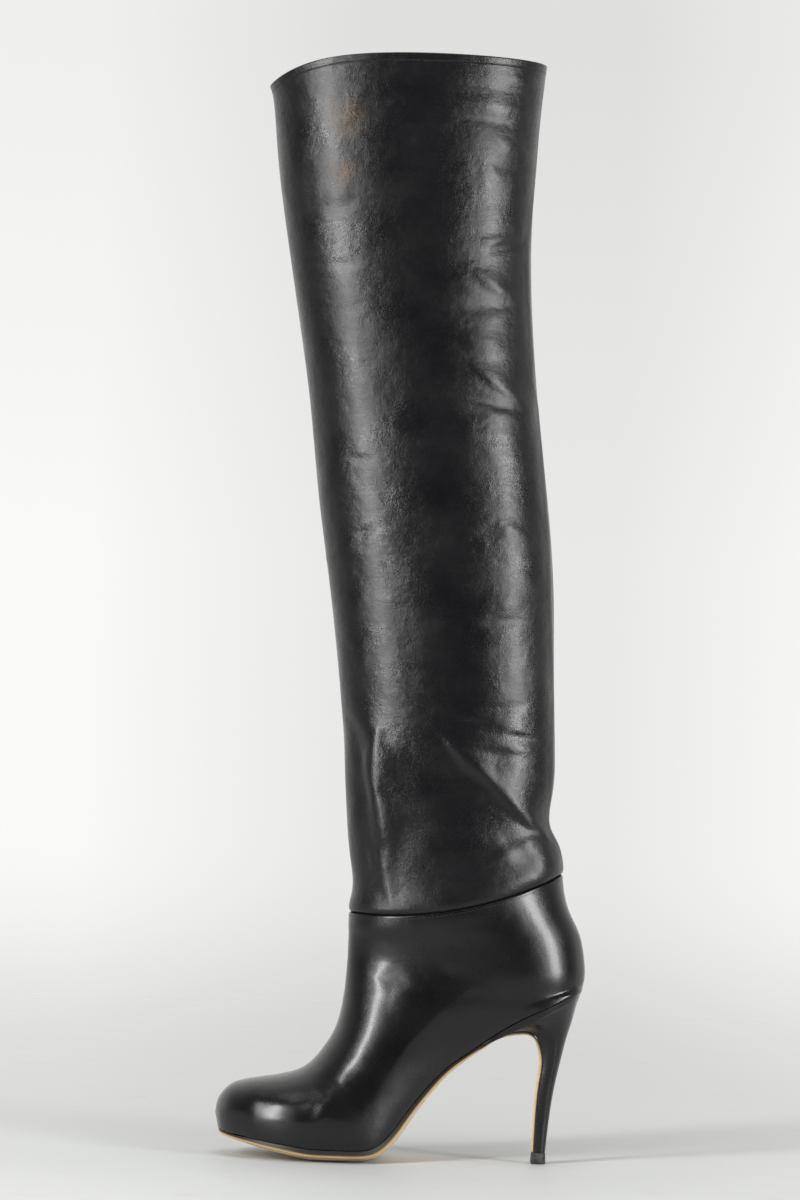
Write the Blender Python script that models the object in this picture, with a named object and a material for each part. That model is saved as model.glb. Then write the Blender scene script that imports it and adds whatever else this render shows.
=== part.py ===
"""Thigh high boot on a covered stiletto heel: one left boot, standing empty on its sole.

The toe points to -X, the outer side of the foot is -Y and the shaft rises along +Z.
Lengths are in metres. The origin is the bottom centre of the boot's box.
"""
import bmesh
import bpy
import numpy as np

# Driving sizes of the last and the shaft
FOOT_LENGTH = 0.222
BALL_WIDTH = 0.086
SEAT_HEIGHT = 0.108
TOE_SPRING = 0.0072
ANKLE_RISE = 0.0413
SEAM_CLIMB = 0.0272
SHAFT_HEIGHT = 0.520
SHAFT_LEAN = 0.047
SHAFT_DEPTH = 0.169
SHAFT_WIDTH = 0.100
TOP_DIP = 0.0185
TOP_DIP_REACH = 0.15

# Walls, soles and clearances
GAP = 0.0003
UPPER_WALL = 0.0016
UPPER_EDGE = 0.0010
SHAFT_WALL = 0.0015
SOLE_EDGE = 0.0044
SOLE_CROWN = 0.0033
SOLE_INSET = 0.0006
INSOLE_BOARD = 0.0030
PLATFORM = 0.0095
INSOLE_CLEARANCE = 0.0020
# The sole's face is worn level where it comes this close to the floor
WORN_FLAT = 0.0001
# Along the bottom: from the heel's lip to its next section, and from the sole's step down to the lip
SEAT_STEP = 0.0012
LIP_STEP = 0.0016
FLAP = 0.0014
TOP_PIECE = 0.0070
HEEL_WIDTH = 0.054

COLUMNS = 36
HALF = COLUMNS // 2
ARC_POINTS = 41
SHARP_ANGLE = 40
# Intervals between sections that get one more section half way
FINER = (15, 16, 17, 18, 27, 31, 32, 33, 34, 35, 36, 37, 38, 39)

BALL_LIFT = GAP + SOLE_EDGE + SOLE_CROWN
SEAT_RISE = SEAT_HEIGHT - BALL_LIFT
ANKLE_HEIGHT = SEAT_HEIGHT + ANKLE_RISE
VAMP_RISE = ANKLE_HEIGHT - BALL_LIFT
HALF_LENGTH = FOOT_LENGTH / 2

# Sections of the foot, from the toe to the seam at the ankle. Each is a slanted cut through the last.
# reach: from the back of the heel, share of FOOT_LENGTH. spring, rise: height of the bottom over the
# ball, shares of TOE_SPRING and SEAT_RISE. top: its reach and its share of VAMP_RISE. feather: half widths
# where upper meets sole, wide: greatest half widths, outer and inner side, shares of BALL_WIDTH.
# ridge: side shift of the top line, share of BALL_WIDTH. belly: height share of the greatest width.
# low, crown: roundness under and over the belly, 1 for straight and 2 for an ellipse.
FOOT_SECTIONS = (
    # name, reach, spring, rise, top reach, top, feather out, in, wide out, in, ridge, belly, low, crown
    ("toe tip", 0.9919, 1.000, 0.000, 1.0000, 0.118, -0.050, 0.050, -0.050, 0.050, 0.050, 0.45, 1.90, 2.0),
    ("toe edge", 0.9865, 0.975, 0.000, 0.9975, 0.158, 0.052, 0.160, 0.062, 0.172, 0.050, 0.44, 1.85, 2.0),
    ("toe cap", 0.9700, 0.870, 0.000, 0.9883, 0.195, 0.138, 0.245, 0.155, 0.262, 0.048, 0.42, 1.80, 2.1),
    ("toe", 0.9430, 0.755, 0.000, 0.9650, 0.236, 0.226, 0.315, 0.250, 0.338, 0.045, 0.40, 1.75, 2.2),
    ("toe back", 0.9050, 0.620, 0.000, 0.9273, 0.262, 0.305, 0.368, 0.335, 0.396, 0.040, 0.38, 1.75, 2.3),
    ("joints", 0.8550, 0.430, 0.000, 0.8750, 0.278, 0.372, 0.415, 0.408, 0.448, 0.034, 0.37, 1.75, 2.2),
    ("vamp", 0.7950, 0.220, 0.000, 0.8270, 0.292, 0.425, 0.450, 0.464, 0.485, 0.028, 0.36, 1.75, 2.1),
    ("inner ball", 0.7400, 0.030, 0.000, 0.7830, 0.312, 0.445, 0.462, 0.492, 0.503, 0.022, 0.35, 1.75, 2.0),
    ("outer ball", 0.6760, 0.000, 0.000, 0.7480, 0.345, 0.452, 0.450, 0.502, 0.496, 0.018, 0.34, 1.75, 1.95),
    ("ball back", 0.6100, 0.000, 0.000, 0.7190, 0.397, 0.438, 0.412, 0.494, 0.474, 0.014, 0.34, 1.70, 1.9),
    ("break", 0.5650, 0.000, 0.020, 0.6990, 0.444, 0.402, 0.362, 0.474, 0.448, 0.011, 0.35, 1.60, 1.9),
    ("low arch", 0.5240, 0.000, 0.100, 0.6850, 0.484, 0.346, 0.300, 0.450, 0.421, 0.008, 0.36, 1.50, 1.9),
    ("arch", 0.4820, 0.000, 0.225, 0.6750, 0.527, 0.290, 0.244, 0.426, 0.396, 0.006, 0.37, 1.45, 1.9),
    ("waist", 0.4330, 0.000, 0.361, 0.6675, 0.574, 0.243, 0.203, 0.406, 0.375, 0.004, 0.38, 1.40, 1.9),
    ("shank", 0.3700, 0.000, 0.507, 0.6625, 0.622, 0.220, 0.180, 0.392, 0.366, 0.003, 0.39, 1.32, 1.95),
    ("heel lip", 0.2980, 0.000, 0.623, 0.6590, 0.666, 0.224, 0.196, 0.385, 0.368, 0.002, 0.40, 1.25, 2.0),
    ("seat front", 0.2300, 0.000, 0.735, 0.6570, 0.704, 0.266, 0.252, 0.383, 0.372, 0.001, 0.41, 1.25, 2.0),
    ("seat", 0.1600, 0.000, 0.829, 0.6555, 0.740, 0.309, 0.303, 0.384, 0.377, 0.000, 0.42, 1.30, 2.0),
    ("seat back", 0.0900, 0.000, 0.905, 0.6545, 0.771, 0.300, 0.298, 0.387, 0.382, 0.000, 0.43, 1.27, 2.0),
    ("seat curve", 0.0400, 0.000, 0.959, 0.6540, 0.793, 0.226, 0.225, 0.390, 0.386, 0.000, 0.44, 1.75, 2.0),
    ("seat edge", 0.0140, 0.000, 0.985, 0.6538, 0.807, 0.118, 0.118, 0.392, 0.389, 0.000, 0.45, 2.00, 2.0),
    ("seat end", 0.0055, 0.000, 1.000, 0.6536, 0.818, 0.000, 0.000, 0.394, 0.391, 0.000, 0.45, 2.32, 2.0),
    ("counter", 0.0000, 0.000, 1.070, 0.6534, 0.842, 0.000, 0.000, 0.396, 0.394, 0.000, 0.46, 2.32, 2.0),
    ("heel bulge", 0.0030, 0.000, 1.175, 0.6534, 0.868, 0.000, 0.000, 0.400, 0.398, 0.000, 0.46, 2.30, 2.05),
    ("heel top", 0.0200, 0.000, 1.335, 0.6534, 0.895, 0.000, 0.000, 0.412, 0.409, 0.000, 0.45, 2.18, 2.05),
    ("tendon", 0.0500, 0.000, 1.470, 0.6536, 0.922, 0.000, 0.000, 0.427, 0.423, 0.000, 0.45, 2.08, 2.1),
    ("lap", 0.0660, 0.000, 1.594, 0.6541, 0.945, 0.000, 0.000, 0.438, 0.434, 0.000, 0.46, 2.00, 2.1),
    ("ankle seam", 0.0720, 0.000, 1.688, 0.6536, 1.000, 0.000, 0.000, 0.447, 0.444, 0.000, 0.47, 2.00, 2.1),
)
SEAT_END = 21
LAP = 26
SEAM = 27
SEAM_SAG = -0.0084

# Sections of the shaft above the seam. front, back: levels over the seam's front, shares of SHAFT_HEIGHT.
# lean: how far the middle has moved forward, share of SHAFT_LEAN. depth, width: shares of SHAFT_DEPTH and
# SHAFT_WIDTH. belly: where the greatest width lies, from back to front. sag: share of SEAM_SAG.
SHAFT_SECTIONS = (
    # name, front, back, lean, depth, width, belly, sag
    ("hem", 0.0075, 0.0620, 0.005, 0.757, 0.770, 0.47, 0.93),
    ("ankle notch", 0.028, 0.0847, 0.015, 0.730, 0.755, 0.47, 0.75),
    ("kink", 0.067, 0.1090, 0.100, 0.716, 0.760, 0.47, 0.45),
    ("above kink", 0.122, 0.1480, 0.122, 0.741, 0.785, 0.47, 0.15),
    ("shin", 0.192, 0.1940, 0.148, 0.762, 0.820, 0.47, 0.0),
    ("low calf", 0.291, 0.2900, 0.234, 0.781, 0.875, 0.46, 0.0),
    ("calf", 0.3935, 0.3860, 0.338, 0.814, 0.920, 0.45, 0.0),
    ("high calf", 0.486, 0.4860, 0.477, 0.828, 0.932, 0.45, 0.0),
    ("knee", 0.604, 0.6036, 0.651, 0.826, 0.925, 0.46, 0.0),
    ("over knee", 0.688, 0.6880, 0.779, 0.843, 0.925, 0.47, 0.0),
    ("low thigh", 0.7825, 0.7750, 0.902, 0.879, 0.945, 0.48, 0.0),
    ("thigh", 0.8845, 0.8800, 0.982, 0.933, 0.970, 0.48, 0.0),
    ("under edge", 0.950, 0.9640, 0.998, 0.972, 0.990, 0.48, 0.0),
    ("top edge", 1.000, 1.0000, 1.000, 1.000, 1.000, 0.48, 0.0),
)
SHAFT_CROWN = 2.1
SHAFT_BACK_ROUND = 2.05

# Thickness of the sole under named sections: shares of SOLE_EDGE and of SOLE_CROWN
SOLE_ROWS = (
    ("toe tip", 0.36, 0.05),
    ("toe cap", 0.45, 0.18),
    ("toe back", 0.62, 0.50),
    ("vamp", 0.93, 0.90),
    ("inner ball", 1.00, 1.00),
    ("ball back", 1.00, 1.00),
    ("break", 0.98, 0.86),
    ("arch", 0.84, 0.56),
    ("shank", 0.62, 0.38),
    ("heel lip", 0.44, 0.22),
)
# Across the sole: position as a share of the half width, and the share of the crown reached there
SOLE_ACROSS = ((1.0, 0.0), (0.82, 0.60), (0.52, 1.0), (0.0, 1.0))

# Heel and the sole's flap down its front, from the lip under the shank to the top piece.
# front, back: reach and height of the flap's face and the heel's back, shares of FOOT_LENGTH and
# SEAT_HEIGHT. flap, width: half widths, shares of HEEL_WIDTH. seat: how far the section keeps the
# outline of the seat above it, 1 for all of it.
HEEL_ROWS = (
    # name, front reach, height, back reach, height, flap, width, seat
    ("lip", 0.2790, 0.645, 0.0060, 0.985, 0.362, 0.490, 0.95),
    ("lip back", 0.2410, 0.701, 0.0110, 0.955, 0.334, 0.462, 0.80),
    ("breast top", 0.2060, 0.724, 0.0170, 0.920, 0.290, 0.416, 0.60),
    ("breast", 0.1720, 0.732, 0.0235, 0.872, 0.243, 0.356, 0.40),
    ("breast curve", 0.1490, 0.727, 0.0300, 0.815, 0.206, 0.292, 0.25),
    ("breast back", 0.1330, 0.702, 0.0385, 0.755, 0.178, 0.236, 0.12),
    ("stem top", 0.1220, 0.655, 0.0470, 0.690, 0.156, 0.198, 0.0),
    ("stem", 0.1153, 0.587, 0.0570, 0.595, 0.137, 0.165, 0.0),
    ("mid stem", 0.1198, 0.471, 0.0690, 0.475, 0.116, 0.135, 0.0),
    ("low stem", 0.1261, 0.301, 0.0815, 0.303, 0.091, 0.103, 0.0),
)
STEM_END = ("stem end", 0.1290, 0.0915, 0.072, 0.080)
# Across a heel section: the share of its depth where it is widest, and the roundness of its back
HEEL_WIDEST = 0.42
# Share of the depth, from the front, over which the seat's outline comes in
SEAT_BLEND = 0.2
HEEL_BACK_ROUND = 2.0
TOP_PIECE_SPREAD = 0.0004
TOP_PIECE_POINTS = 9

# Thickness of the insole over named sections, from INSOLE_BOARD at 0 to PLATFORM at 1
INSOLE_ROWS = (
    ("toe tip", 0.75),
    ("toe", 1.0),
    ("ball back", 1.0),
    ("low arch", 0.35),
    ("arch", 0.0),
    ("seat end", 0.0),
)


def track(values, knots, places):
    """Natural cubic spline through the values at the knots, read at the places."""
    values = np.asarray(values, float)
    steps = np.diff(knots)
    count = len(knots)
    matrix = np.eye(count)
    right = np.zeros(count)
    for k in range(1, count - 1):
        matrix[k, k - 1:k + 2] = steps[k - 1], 2 * (steps[k - 1] + steps[k]), steps[k]
        right[k] = 6 * ((values[k + 1] - values[k]) / steps[k] - (values[k] - values[k - 1]) / steps[k - 1])
    bend = np.linalg.solve(matrix, right)
    part = np.clip(np.searchsorted(knots, places, side="right") - 1, 0, count - 2)
    h = steps[part]
    a = (knots[part + 1] - places) / h
    b = 1 - a
    curve = ((a ** 3 - a) * bend[part] + (b ** 3 - b) * bend[part + 1]) * h * h / 6
    return a * values[part] + b * values[part + 1] + curve


def along(reach):
    """X of a reach from the back of the heel."""
    return HALF_LENGTH - reach * FOOT_LENGTH


def foot_rows():
    """Foot sections as rows of lengths: bottom x, z, top x, z, feather, wide, ridge, belly, round, crown."""
    rows = []
    for index, section in enumerate(FOOT_SECTIONS):
        reach, spring, rise, top_reach, top = section[1:6]
        feather_out, feather_in, out, inner, ridge, belly, low, crown = section[6:]
        bottom_z = BALL_LIFT + spring * TOE_SPRING + rise * SEAT_RISE
        if index == SEAM:
            bottom_z = ANKLE_HEIGHT + SEAM_CLIMB
        sag = max(0, index - SEAT_END) / (SEAM - SEAT_END)
        rows.append((along(reach), bottom_z, along(top_reach), BALL_LIFT + top * VAMP_RISE,
                     -feather_out * BALL_WIDTH, feather_in * BALL_WIDTH, -out * BALL_WIDTH,
                     inner * BALL_WIDTH, ridge * BALL_WIDTH, belly, low, crown,
                     sag * SEAM_SAG, 0.0))
    return rows


def shaft_rows(seam):
    """Shaft sections as rows of the same lengths, from just above the seam's row."""
    rows = []
    seam_middle = (seam[0] + seam[2]) / 2
    for name, front, back, lean, depth, width, belly, sag in SHAFT_SECTIONS:
        middle = seam_middle - lean * SHAFT_LEAN
        reach = depth * SHAFT_DEPTH / 2
        side = width * SHAFT_WIDTH / 2
        dip = -TOP_DIP if name == "top edge" else 0.0
        rows.append((middle + reach, ANKLE_HEIGHT + back * SHAFT_HEIGHT,
                     middle - reach, ANKLE_HEIGHT + front * SHAFT_HEIGHT,
                     0.0, 0.0, -side, side, 0.0, belly, SHAFT_BACK_ROUND, SHAFT_CROWN,
                     sag * SEAM_SAG, dip))
    return rows


def boot_rows():
    """All sections, and their places along the boot."""
    rows = foot_rows()
    rows += shaft_rows(rows[SEAM])
    rows = np.array(rows)
    travel = np.hypot(*np.diff(rows[:, 0:2], axis=0).T) + np.hypot(*np.diff(rows[:, 2:4], axis=0).T)
    return rows, np.concatenate(([0.0], np.cumsum(travel)))


def rows_between(rows, knots, finer):
    """Rows at the knots, with one more half way up each interval that finer names."""
    places = []
    for k in range(len(knots) - 1):
        places.append(knots[k])
        if k in finer:
            places.append((knots[k] + knots[k + 1]) / 2)
    places = np.array(places + [knots[-1]])
    smooth = np.empty((len(places), rows.shape[1]))
    for column in range(rows.shape[1]):
        smooth[:, column] = track(rows[:, column], knots, places)
        if column in (0, 1, 4, 5):
            split = SEAT_END + 1
            back = places > knots[SEAT_END]
            smooth[~back, column] = track(rows[:split, column], knots[:split], places[~back])
            smooth[back, column] = track(rows[SEAT_END:, column], knots[SEAT_END:], places[back])
    return places, smooth


def half_section(row, side):
    """Points of one side of a section, from its bottom edge up to the top line."""
    bottom_x, bottom_z, top_x, top_z = row[0:4]
    feather, wide = (row[4], row[6]) if side < 0 else (row[5], row[7])
    ridge, belly, round_low, crown, sag, dip = row[8:14]
    turn = np.linspace(0, np.pi / 2, ARC_POINTS)
    low_rise = belly * (1 - np.cos(turn) ** (2 / round_low))
    low_side = feather + (wide - feather) * np.sin(turn) ** (2 / round_low)
    high_rise = belly + (1 - belly) * np.sin(turn[1:]) ** (2 / crown)
    high_side = ridge + (wide - ridge) * np.cos(turn[1:]) ** (2 / crown)
    rise = np.concatenate((low_rise, high_rise))
    y = np.concatenate((low_side, high_side))
    x = bottom_x + (top_x - bottom_x) * rise
    z = bottom_z + (top_z - bottom_z) * rise + sag * 4 * rise * (1 - rise)
    z += dip * np.exp(-(1 - rise) / TOP_DIP_REACH)
    points = np.column_stack((x, y, z))
    length = np.concatenate(([0.0], np.cumsum(np.linalg.norm(np.diff(points, axis=0), axis=1))))
    if length[-1] == 0:
        return np.repeat(points[:1], HALF + 1, axis=0)
    even = np.linspace(0, length[-1], HALF + 1)
    return np.column_stack([np.interp(even, length, points[:, k]) for k in range(3)])


def boot_grid(smooth):
    """Points of every section: outer edge, over the top line, to the inner edge."""
    grid = []
    for row in smooth:
        outer = half_section(row, -1)
        inner = half_section(row, 1)
        grid.append(np.vstack((outer, inner[-2::-1])))
    return np.array(grid)


def grid_labels(grid, closed_from):
    """Number of each grid point, with the toe's seam and the closed sections joined."""
    rows, columns = grid.shape[:2]
    labels = np.arange(rows * columns).reshape(rows, columns)
    labels[0] = np.minimum(labels[0], labels[0][::-1])
    labels[closed_from:, -1] = labels[closed_from:, 0]
    return labels


def grid_normals(grid, labels):
    """Outward direction at each grid point, averaged over the faces around it."""
    across = grid[1:, 1:] - grid[:-1, :-1]
    other = grid[:-1, 1:] - grid[1:, :-1]
    face = np.cross(across, other)
    total = np.zeros((labels.max() + 1, 3))
    for corner in (labels[:-1, :-1], labels[1:, :-1], labels[:-1, 1:], labels[1:, 1:]):
        np.add.at(total, corner.ravel(), face.reshape(-1, 3))
    size = np.linalg.norm(total, axis=1, keepdims=True)
    size[size == 0] = 1
    return (total / size)[labels]


class Bottom:
    """The bottom of the last: its line from the toe to the seat's end, and the feather outline on it."""

    def __init__(self, grid, places, knots):
        last = int(np.argmin(np.abs(places - knots[SEAT_END])))
        self.places = places[:last + 1]
        self.line = grid[:last + 1, 0][:, (0, 2)]
        self.length = np.concatenate(([0.0], np.cumsum(np.hypot(*np.diff(self.line, axis=0).T))))
        self.outer = grid[:last + 1, 0, 1]
        self.inner = grid[:last + 1, -1, 1]
        step = np.gradient(self.line, self.length, axis=0)
        step /= np.linalg.norm(step, axis=1, keepdims=True)
        self.down = np.column_stack((step[:, 1], -step[:, 0]))

    def point(self, length, y, depth):
        """A point on the bottom, moved down across it by depth."""
        x, z = (np.interp(length, self.length, self.line[:, k]) for k in (0, 1))
        down_x, down_z = (np.interp(length, self.length, self.down[:, k]) for k in (0, 1))
        return np.stack((x + down_x * depth, y + 0 * x, z + down_z * depth), axis=-1)

    def inset(self, distance):
        """Lengths and sides of the outline moved inward: outer length, y, inner length, y."""
        outer = np.column_stack((self.length, self.outer))
        inner = np.column_stack((self.length, self.inner))
        loop = np.vstack((outer, inner[-2:0:-1]))
        along_loop = np.roll(loop, -1, axis=0) - np.roll(loop, 1, axis=0)
        along_loop /= np.linalg.norm(along_loop, axis=1, keepdims=True)
        moved = loop + distance * np.column_stack((-along_loop[:, 1], along_loop[:, 0]))
        count = len(self.length)
        inner_moved = np.vstack((moved[:1], moved[count:][::-1], moved[count - 1:count]))
        return moved[:count, 0], moved[:count, 1], inner_moved[:, 0], inner_moved[:, 1]


def by_section(table, column, places, knots):
    """A column of a table with a row per named section, read at the places."""
    names = [section[0] for section in FOOT_SECTIONS]
    at = [knots[names.index(row[0])] for row in table]
    return np.interp(places, at, [row[column] for row in table])


def new_object(name, points, faces, material, collection):
    """A mesh object from points and faces, with doubles joined and faces pointing out."""
    mesh = bpy.data.meshes.new(name)
    mesh.from_pydata([tuple(point) for point in points], [], faces)
    work = bmesh.new()
    work.from_mesh(mesh)
    bmesh.ops.remove_doubles(work, verts=work.verts, dist=1e-6)
    bmesh.ops.dissolve_degenerate(work, edges=work.edges, dist=1e-6)
    bmesh.ops.triangulate(work, faces=[face for face in work.faces if len(face.verts) > 4])
    bmesh.ops.recalc_face_normals(work, faces=work.faces)
    work.to_mesh(mesh)
    work.free()
    mesh.materials.append(material)
    mesh.shade_smooth()
    mesh.set_sharp_from_angle(angle=np.radians(SHARP_ANGLE))
    thing = bpy.data.objects.new(name, mesh)
    collection.objects.link(thing)
    return thing


def shell(outer, inner, labels):
    """Closed wall between two grids: faces of both, and a rim along every open edge."""
    rows, columns = labels.shape
    labels = labels - labels[0, 0]
    faces = []
    for i in range(rows - 1):
        for j in range(columns - 1):
            face = (labels[i, j], labels[i, j + 1], labels[i + 1, j + 1], labels[i + 1, j])
            faces.append(tuple(int(k) for k in face))
    edges = {}
    for face in faces:
        for a, b in zip(face, face[1:] + face[:1]):
            edges[a, b] = True
    count = rows * columns
    rim = [(b, a, a + count, b + count) for a, b in edges if (b, a) not in edges]
    back = [tuple(k + count for k in reversed(face)) for face in faces]
    points = np.vstack((outer.reshape(-1, 3), inner.reshape(-1, 3)))
    return drop_loose(points, faces + back + rim)


def drop_loose(points, faces):
    """Points that the faces use, and the faces renumbered."""
    used = sorted({k for face in faces for k in face})
    number = {k: n for n, k in enumerate(used)}
    return points[used], [tuple(number[k] for k in face) for face in faces]


def ladder_loft(rings, width):
    """Closed solid through rings of 2 * width points, the ends closed by rungs across each ring."""
    count = 2 * width
    points = np.vstack(rings)
    faces = []
    for i in range(len(rings) - 1):
        for j in range(count):
            k = (j + 1) % count
            faces.append((i * count + j, i * count + k, (i + 1) * count + k, (i + 1) * count + j))
    for start in (0, (len(rings) - 1) * count):
        for j in range(width - 1):
            faces.append((start + j, start + j + 1, start + count - 2 - j, start + count - 1 - j))
    return points, faces


def make_upper(grid, normals, labels, places, knots, bottom):
    """Foot of the boot: one hollow wall, open underneath and at the ankle seam."""
    last = int(np.argmin(np.abs(places - knots[SEAM]))) + 1
    wall = np.interp(places[:last], (knots[LAP - 1], knots[LAP]), (UPPER_WALL, UPPER_EDGE))
    outer = grid[:last]
    inner = outer - normals[:last] * wall[:, None, None]
    length_out, side_out, length_in, side_in = bottom.inset(UPPER_WALL)
    count = len(bottom.length)
    inner[:count, 0] = bottom.point(length_out, side_out, 0.0)
    inner[:count, -1] = bottom.point(length_in, side_in, 0.0)
    return shell(outer, inner, labels[:last])


def make_shaft(grid, normals, labels, places, knots):
    """Leg of the boot: one tube, its lower margin tucked under the upper's edge."""
    first = int(np.argmin(np.abs(places - knots[LAP])))
    tuck = np.interp(places[first:], (knots[SEAM], knots[SEAM + 2]), (UPPER_EDGE + GAP, 0.0))
    outer = grid[first:] - normals[first:] * tuck[:, None, None]
    inner = outer - normals[first:] * SHAFT_WALL
    return shell(outer, inner, labels[first:])


def flap_lines():
    """Face line of the sole's flap, its direction into the heel, and its half widths."""
    face = [(along(row[1]), row[2] * SEAT_HEIGHT) for row in HEEL_ROWS]
    face.append((along(STEM_END[1]), TOP_PIECE + GAP))
    face = np.array(face)
    step = np.gradient(face, axis=0)
    step /= np.linalg.norm(step, axis=1, keepdims=True)
    inward = np.column_stack((-step[:, 1], step[:, 0]))
    inward[-1] = (1.0, 0.0)
    side = np.array([row[5] for row in HEEL_ROWS] + [STEM_END[3]]) * HEEL_WIDTH
    return face, inward, side


def make_sole(bottom, knots):
    """Outsole: forepart, shank and the flap down the front of the heel, in one piece."""
    names = [section[0] for section in FOOT_SECTIONS]
    last = int(np.argmin(np.abs(bottom.places - knots[names.index("heel lip")]))) + 1
    edge = by_section(SOLE_ROWS, 1, bottom.places, knots) * SOLE_EDGE
    crown = by_section(SOLE_ROWS, 2, bottom.places, knots) * SOLE_CROWN
    crown[0] = 0.0
    length_out, side_out, length_in, side_in = bottom.inset(SOLE_INSET)
    shares = [share for share, drop in SOLE_ACROSS]
    drops = [drop for share, drop in SOLE_ACROSS]
    across = np.array(shares + [-share for share in shares[-2::-1]])
    drops = np.array(drops + drops[-2::-1])
    mix = (1 - across) / 2
    rings = []
    for i in range(last):
        length = length_out[i] + (length_in[i] - length_out[i]) * mix
        side = side_out[i] + (side_in[i] - side_out[i]) * mix
        top = bottom.point(length, side, GAP)
        face = bottom.point(length, side, GAP + edge[i] + crown[i] * drops)
        face[face[:, 2] < WORN_FLAT, 2] = 0.0
        rings.append(np.vstack((top, face[::-1])))
    flap = []
    for point, into, side in zip(*flap_lines()):
        face = np.column_stack((0 * across + point[0], -side * across, 0 * across + point[1]))
        top = face + np.array((into[0], 0.0, into[1])) * FLAP
        flap.append(np.vstack((top, face[::-1])))
    flap[-1][:, 2] = TOP_PIECE + GAP
    step = (rings[-1] + flap[0]) / 2
    length = np.full(len(across), lip_length(bottom) - LIP_STEP)
    step[:len(across)] = bottom.point(length, step[:len(across), 1], GAP)
    return ladder_loft(rings + [step] + flap, len(across))


def lip_length(bottom):
    """Length along the bottom at which the heel's lip starts."""
    line, inward, side = flap_lines()
    return np.interp(line[0, 0] + inward[0, 0] * (FLAP + GAP), bottom.line[:, 0], bottom.length)


def heel_side(share, front, wide):
    """Half width of a heel section at a share of its depth, from its front to its back."""
    rising = front + (wide - front) * np.sin(np.pi / 2 * np.clip(share / HEEL_WIDEST, 0, 1))
    behind = np.clip((share - HEEL_WIDEST) / (1 - HEEL_WIDEST), 0, 1)
    falling = wide * np.sqrt(1 - behind ** HEEL_BACK_ROUND)
    return np.where(share < HEEL_WIDEST, rising, falling)


def heel_ring(front, back, share, front_side, wide, seat=0.0, outline=(0.0, 0.0)):
    """Points of a heel section: outer side from front to back, then the inner side back again."""
    half = heel_side(share, front_side, wide)
    kept = seat * np.clip(share / SEAT_BLEND, 0, 1)
    x = front[0] + (back[0] - front[0]) * share
    z = front[1] + (back[1] - front[1]) * share
    outer = np.column_stack((x, -half - kept * (outline[0] * wide - half), z))
    inner = np.column_stack((x, half + kept * (outline[1] * wide - half), z))
    return np.vstack((outer, inner[::-1]))


def make_heel(bottom):
    """Covered heel: seat face under the upper, hollow breast and a thin stem."""
    line, inward, side = flap_lines()
    front = line + inward * (FLAP + GAP)
    start = lip_length(bottom)
    length = np.concatenate(([start], bottom.length[bottom.length > start + SEAT_STEP]))
    share = (length - length[0]) / (length[-1] - length[0])
    outer = bottom.point(length, np.interp(length, bottom.length, bottom.outer), GAP)
    inner = bottom.point(length, np.interp(length, bottom.length, bottom.inner), GAP)
    outline = (outer[:, 1] / outer[:, 1].min(), inner[:, 1] / inner[:, 1].max())
    rings = [np.vstack((outer, inner[::-1]))]
    for row, face, front_side in zip(HEEL_ROWS, front, side):
        back = (along(row[3]), row[4] * SEAT_HEIGHT)
        rings.append(heel_ring(face, back, share, front_side, row[6] * HEEL_WIDTH, row[7], outline))
    back = (along(STEM_END[2]), TOP_PIECE + GAP)
    rings.append(heel_ring((front[-1, 0], TOP_PIECE + GAP), back, share, side[-1], STEM_END[4] * HEEL_WIDTH))
    return ladder_loft(rings, len(share))


def make_top_piece():
    """Rubber tip under the stem and the flap."""
    share = np.sin(np.linspace(0, np.pi / 2, TOP_PIECE_POINTS))
    rings = []
    for z, spread in ((TOP_PIECE, 0.0), (0.0, TOP_PIECE_SPREAD)):
        front = (along(STEM_END[1]) - spread, z)
        back = (along(STEM_END[2]) + spread, z)
        rings.append(heel_ring(front, back, share, STEM_END[3] * HEEL_WIDTH + spread,
                               STEM_END[4] * HEEL_WIDTH + spread))
    return ladder_loft(rings, len(share))


def make_insole(bottom, knots):
    """Insole: thick under the toes and the ball, a board along the arch and the seat."""
    length_out, side_out, length_in, side_in = bottom.inset(UPPER_WALL + INSOLE_CLEARANCE)
    share = by_section(INSOLE_ROWS, 1, bottom.places, knots)
    rings = []
    for i in range(len(bottom.length)):
        mix = np.array((0.0, 0.5, 1.0))
        length = length_out[i] + (length_in[i] - length_out[i]) * mix
        side = side_out[i] + (side_in[i] - side_out[i]) * mix
        thick = INSOLE_BOARD + share[i] * (PLATFORM - INSOLE_BOARD)
        lower = bottom.point(length, side, 0.0)
        upper = bottom.point(length, side, -thick)
        rings.append(np.vstack((lower, upper[::-1])))
    return ladder_loft(rings, 3)


def make_material(name, color, roughness, coat):
    """A plain surface with its colour and gloss."""
    material = bpy.data.materials.new(name)
    material.use_nodes = True
    surface = material.node_tree.nodes["Principled BSDF"]
    surface.inputs["Base Color"].default_value = (*color, 1.0)
    surface.inputs["Roughness"].default_value = roughness
    surface.inputs["Coat Weight"].default_value = coat
    return material


def centre_on_floor(things):
    """Parent the pieces to one empty that puts the box's bottom centre on the origin."""
    points = np.array([vertex.co[:] for thing in things for vertex in thing.data.vertices])
    low, high = points.min(axis=0), points.max(axis=0)
    root = bpy.data.objects.new("thigh_high_boot_root", None)
    bpy.data.collections["thigh_high_boot"].objects.link(root)
    root.location = (-(low[0] + high[0]) / 2, -(low[1] + high[1]) / 2, -low[2])
    for thing in things:
        thing.parent = root


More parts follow.
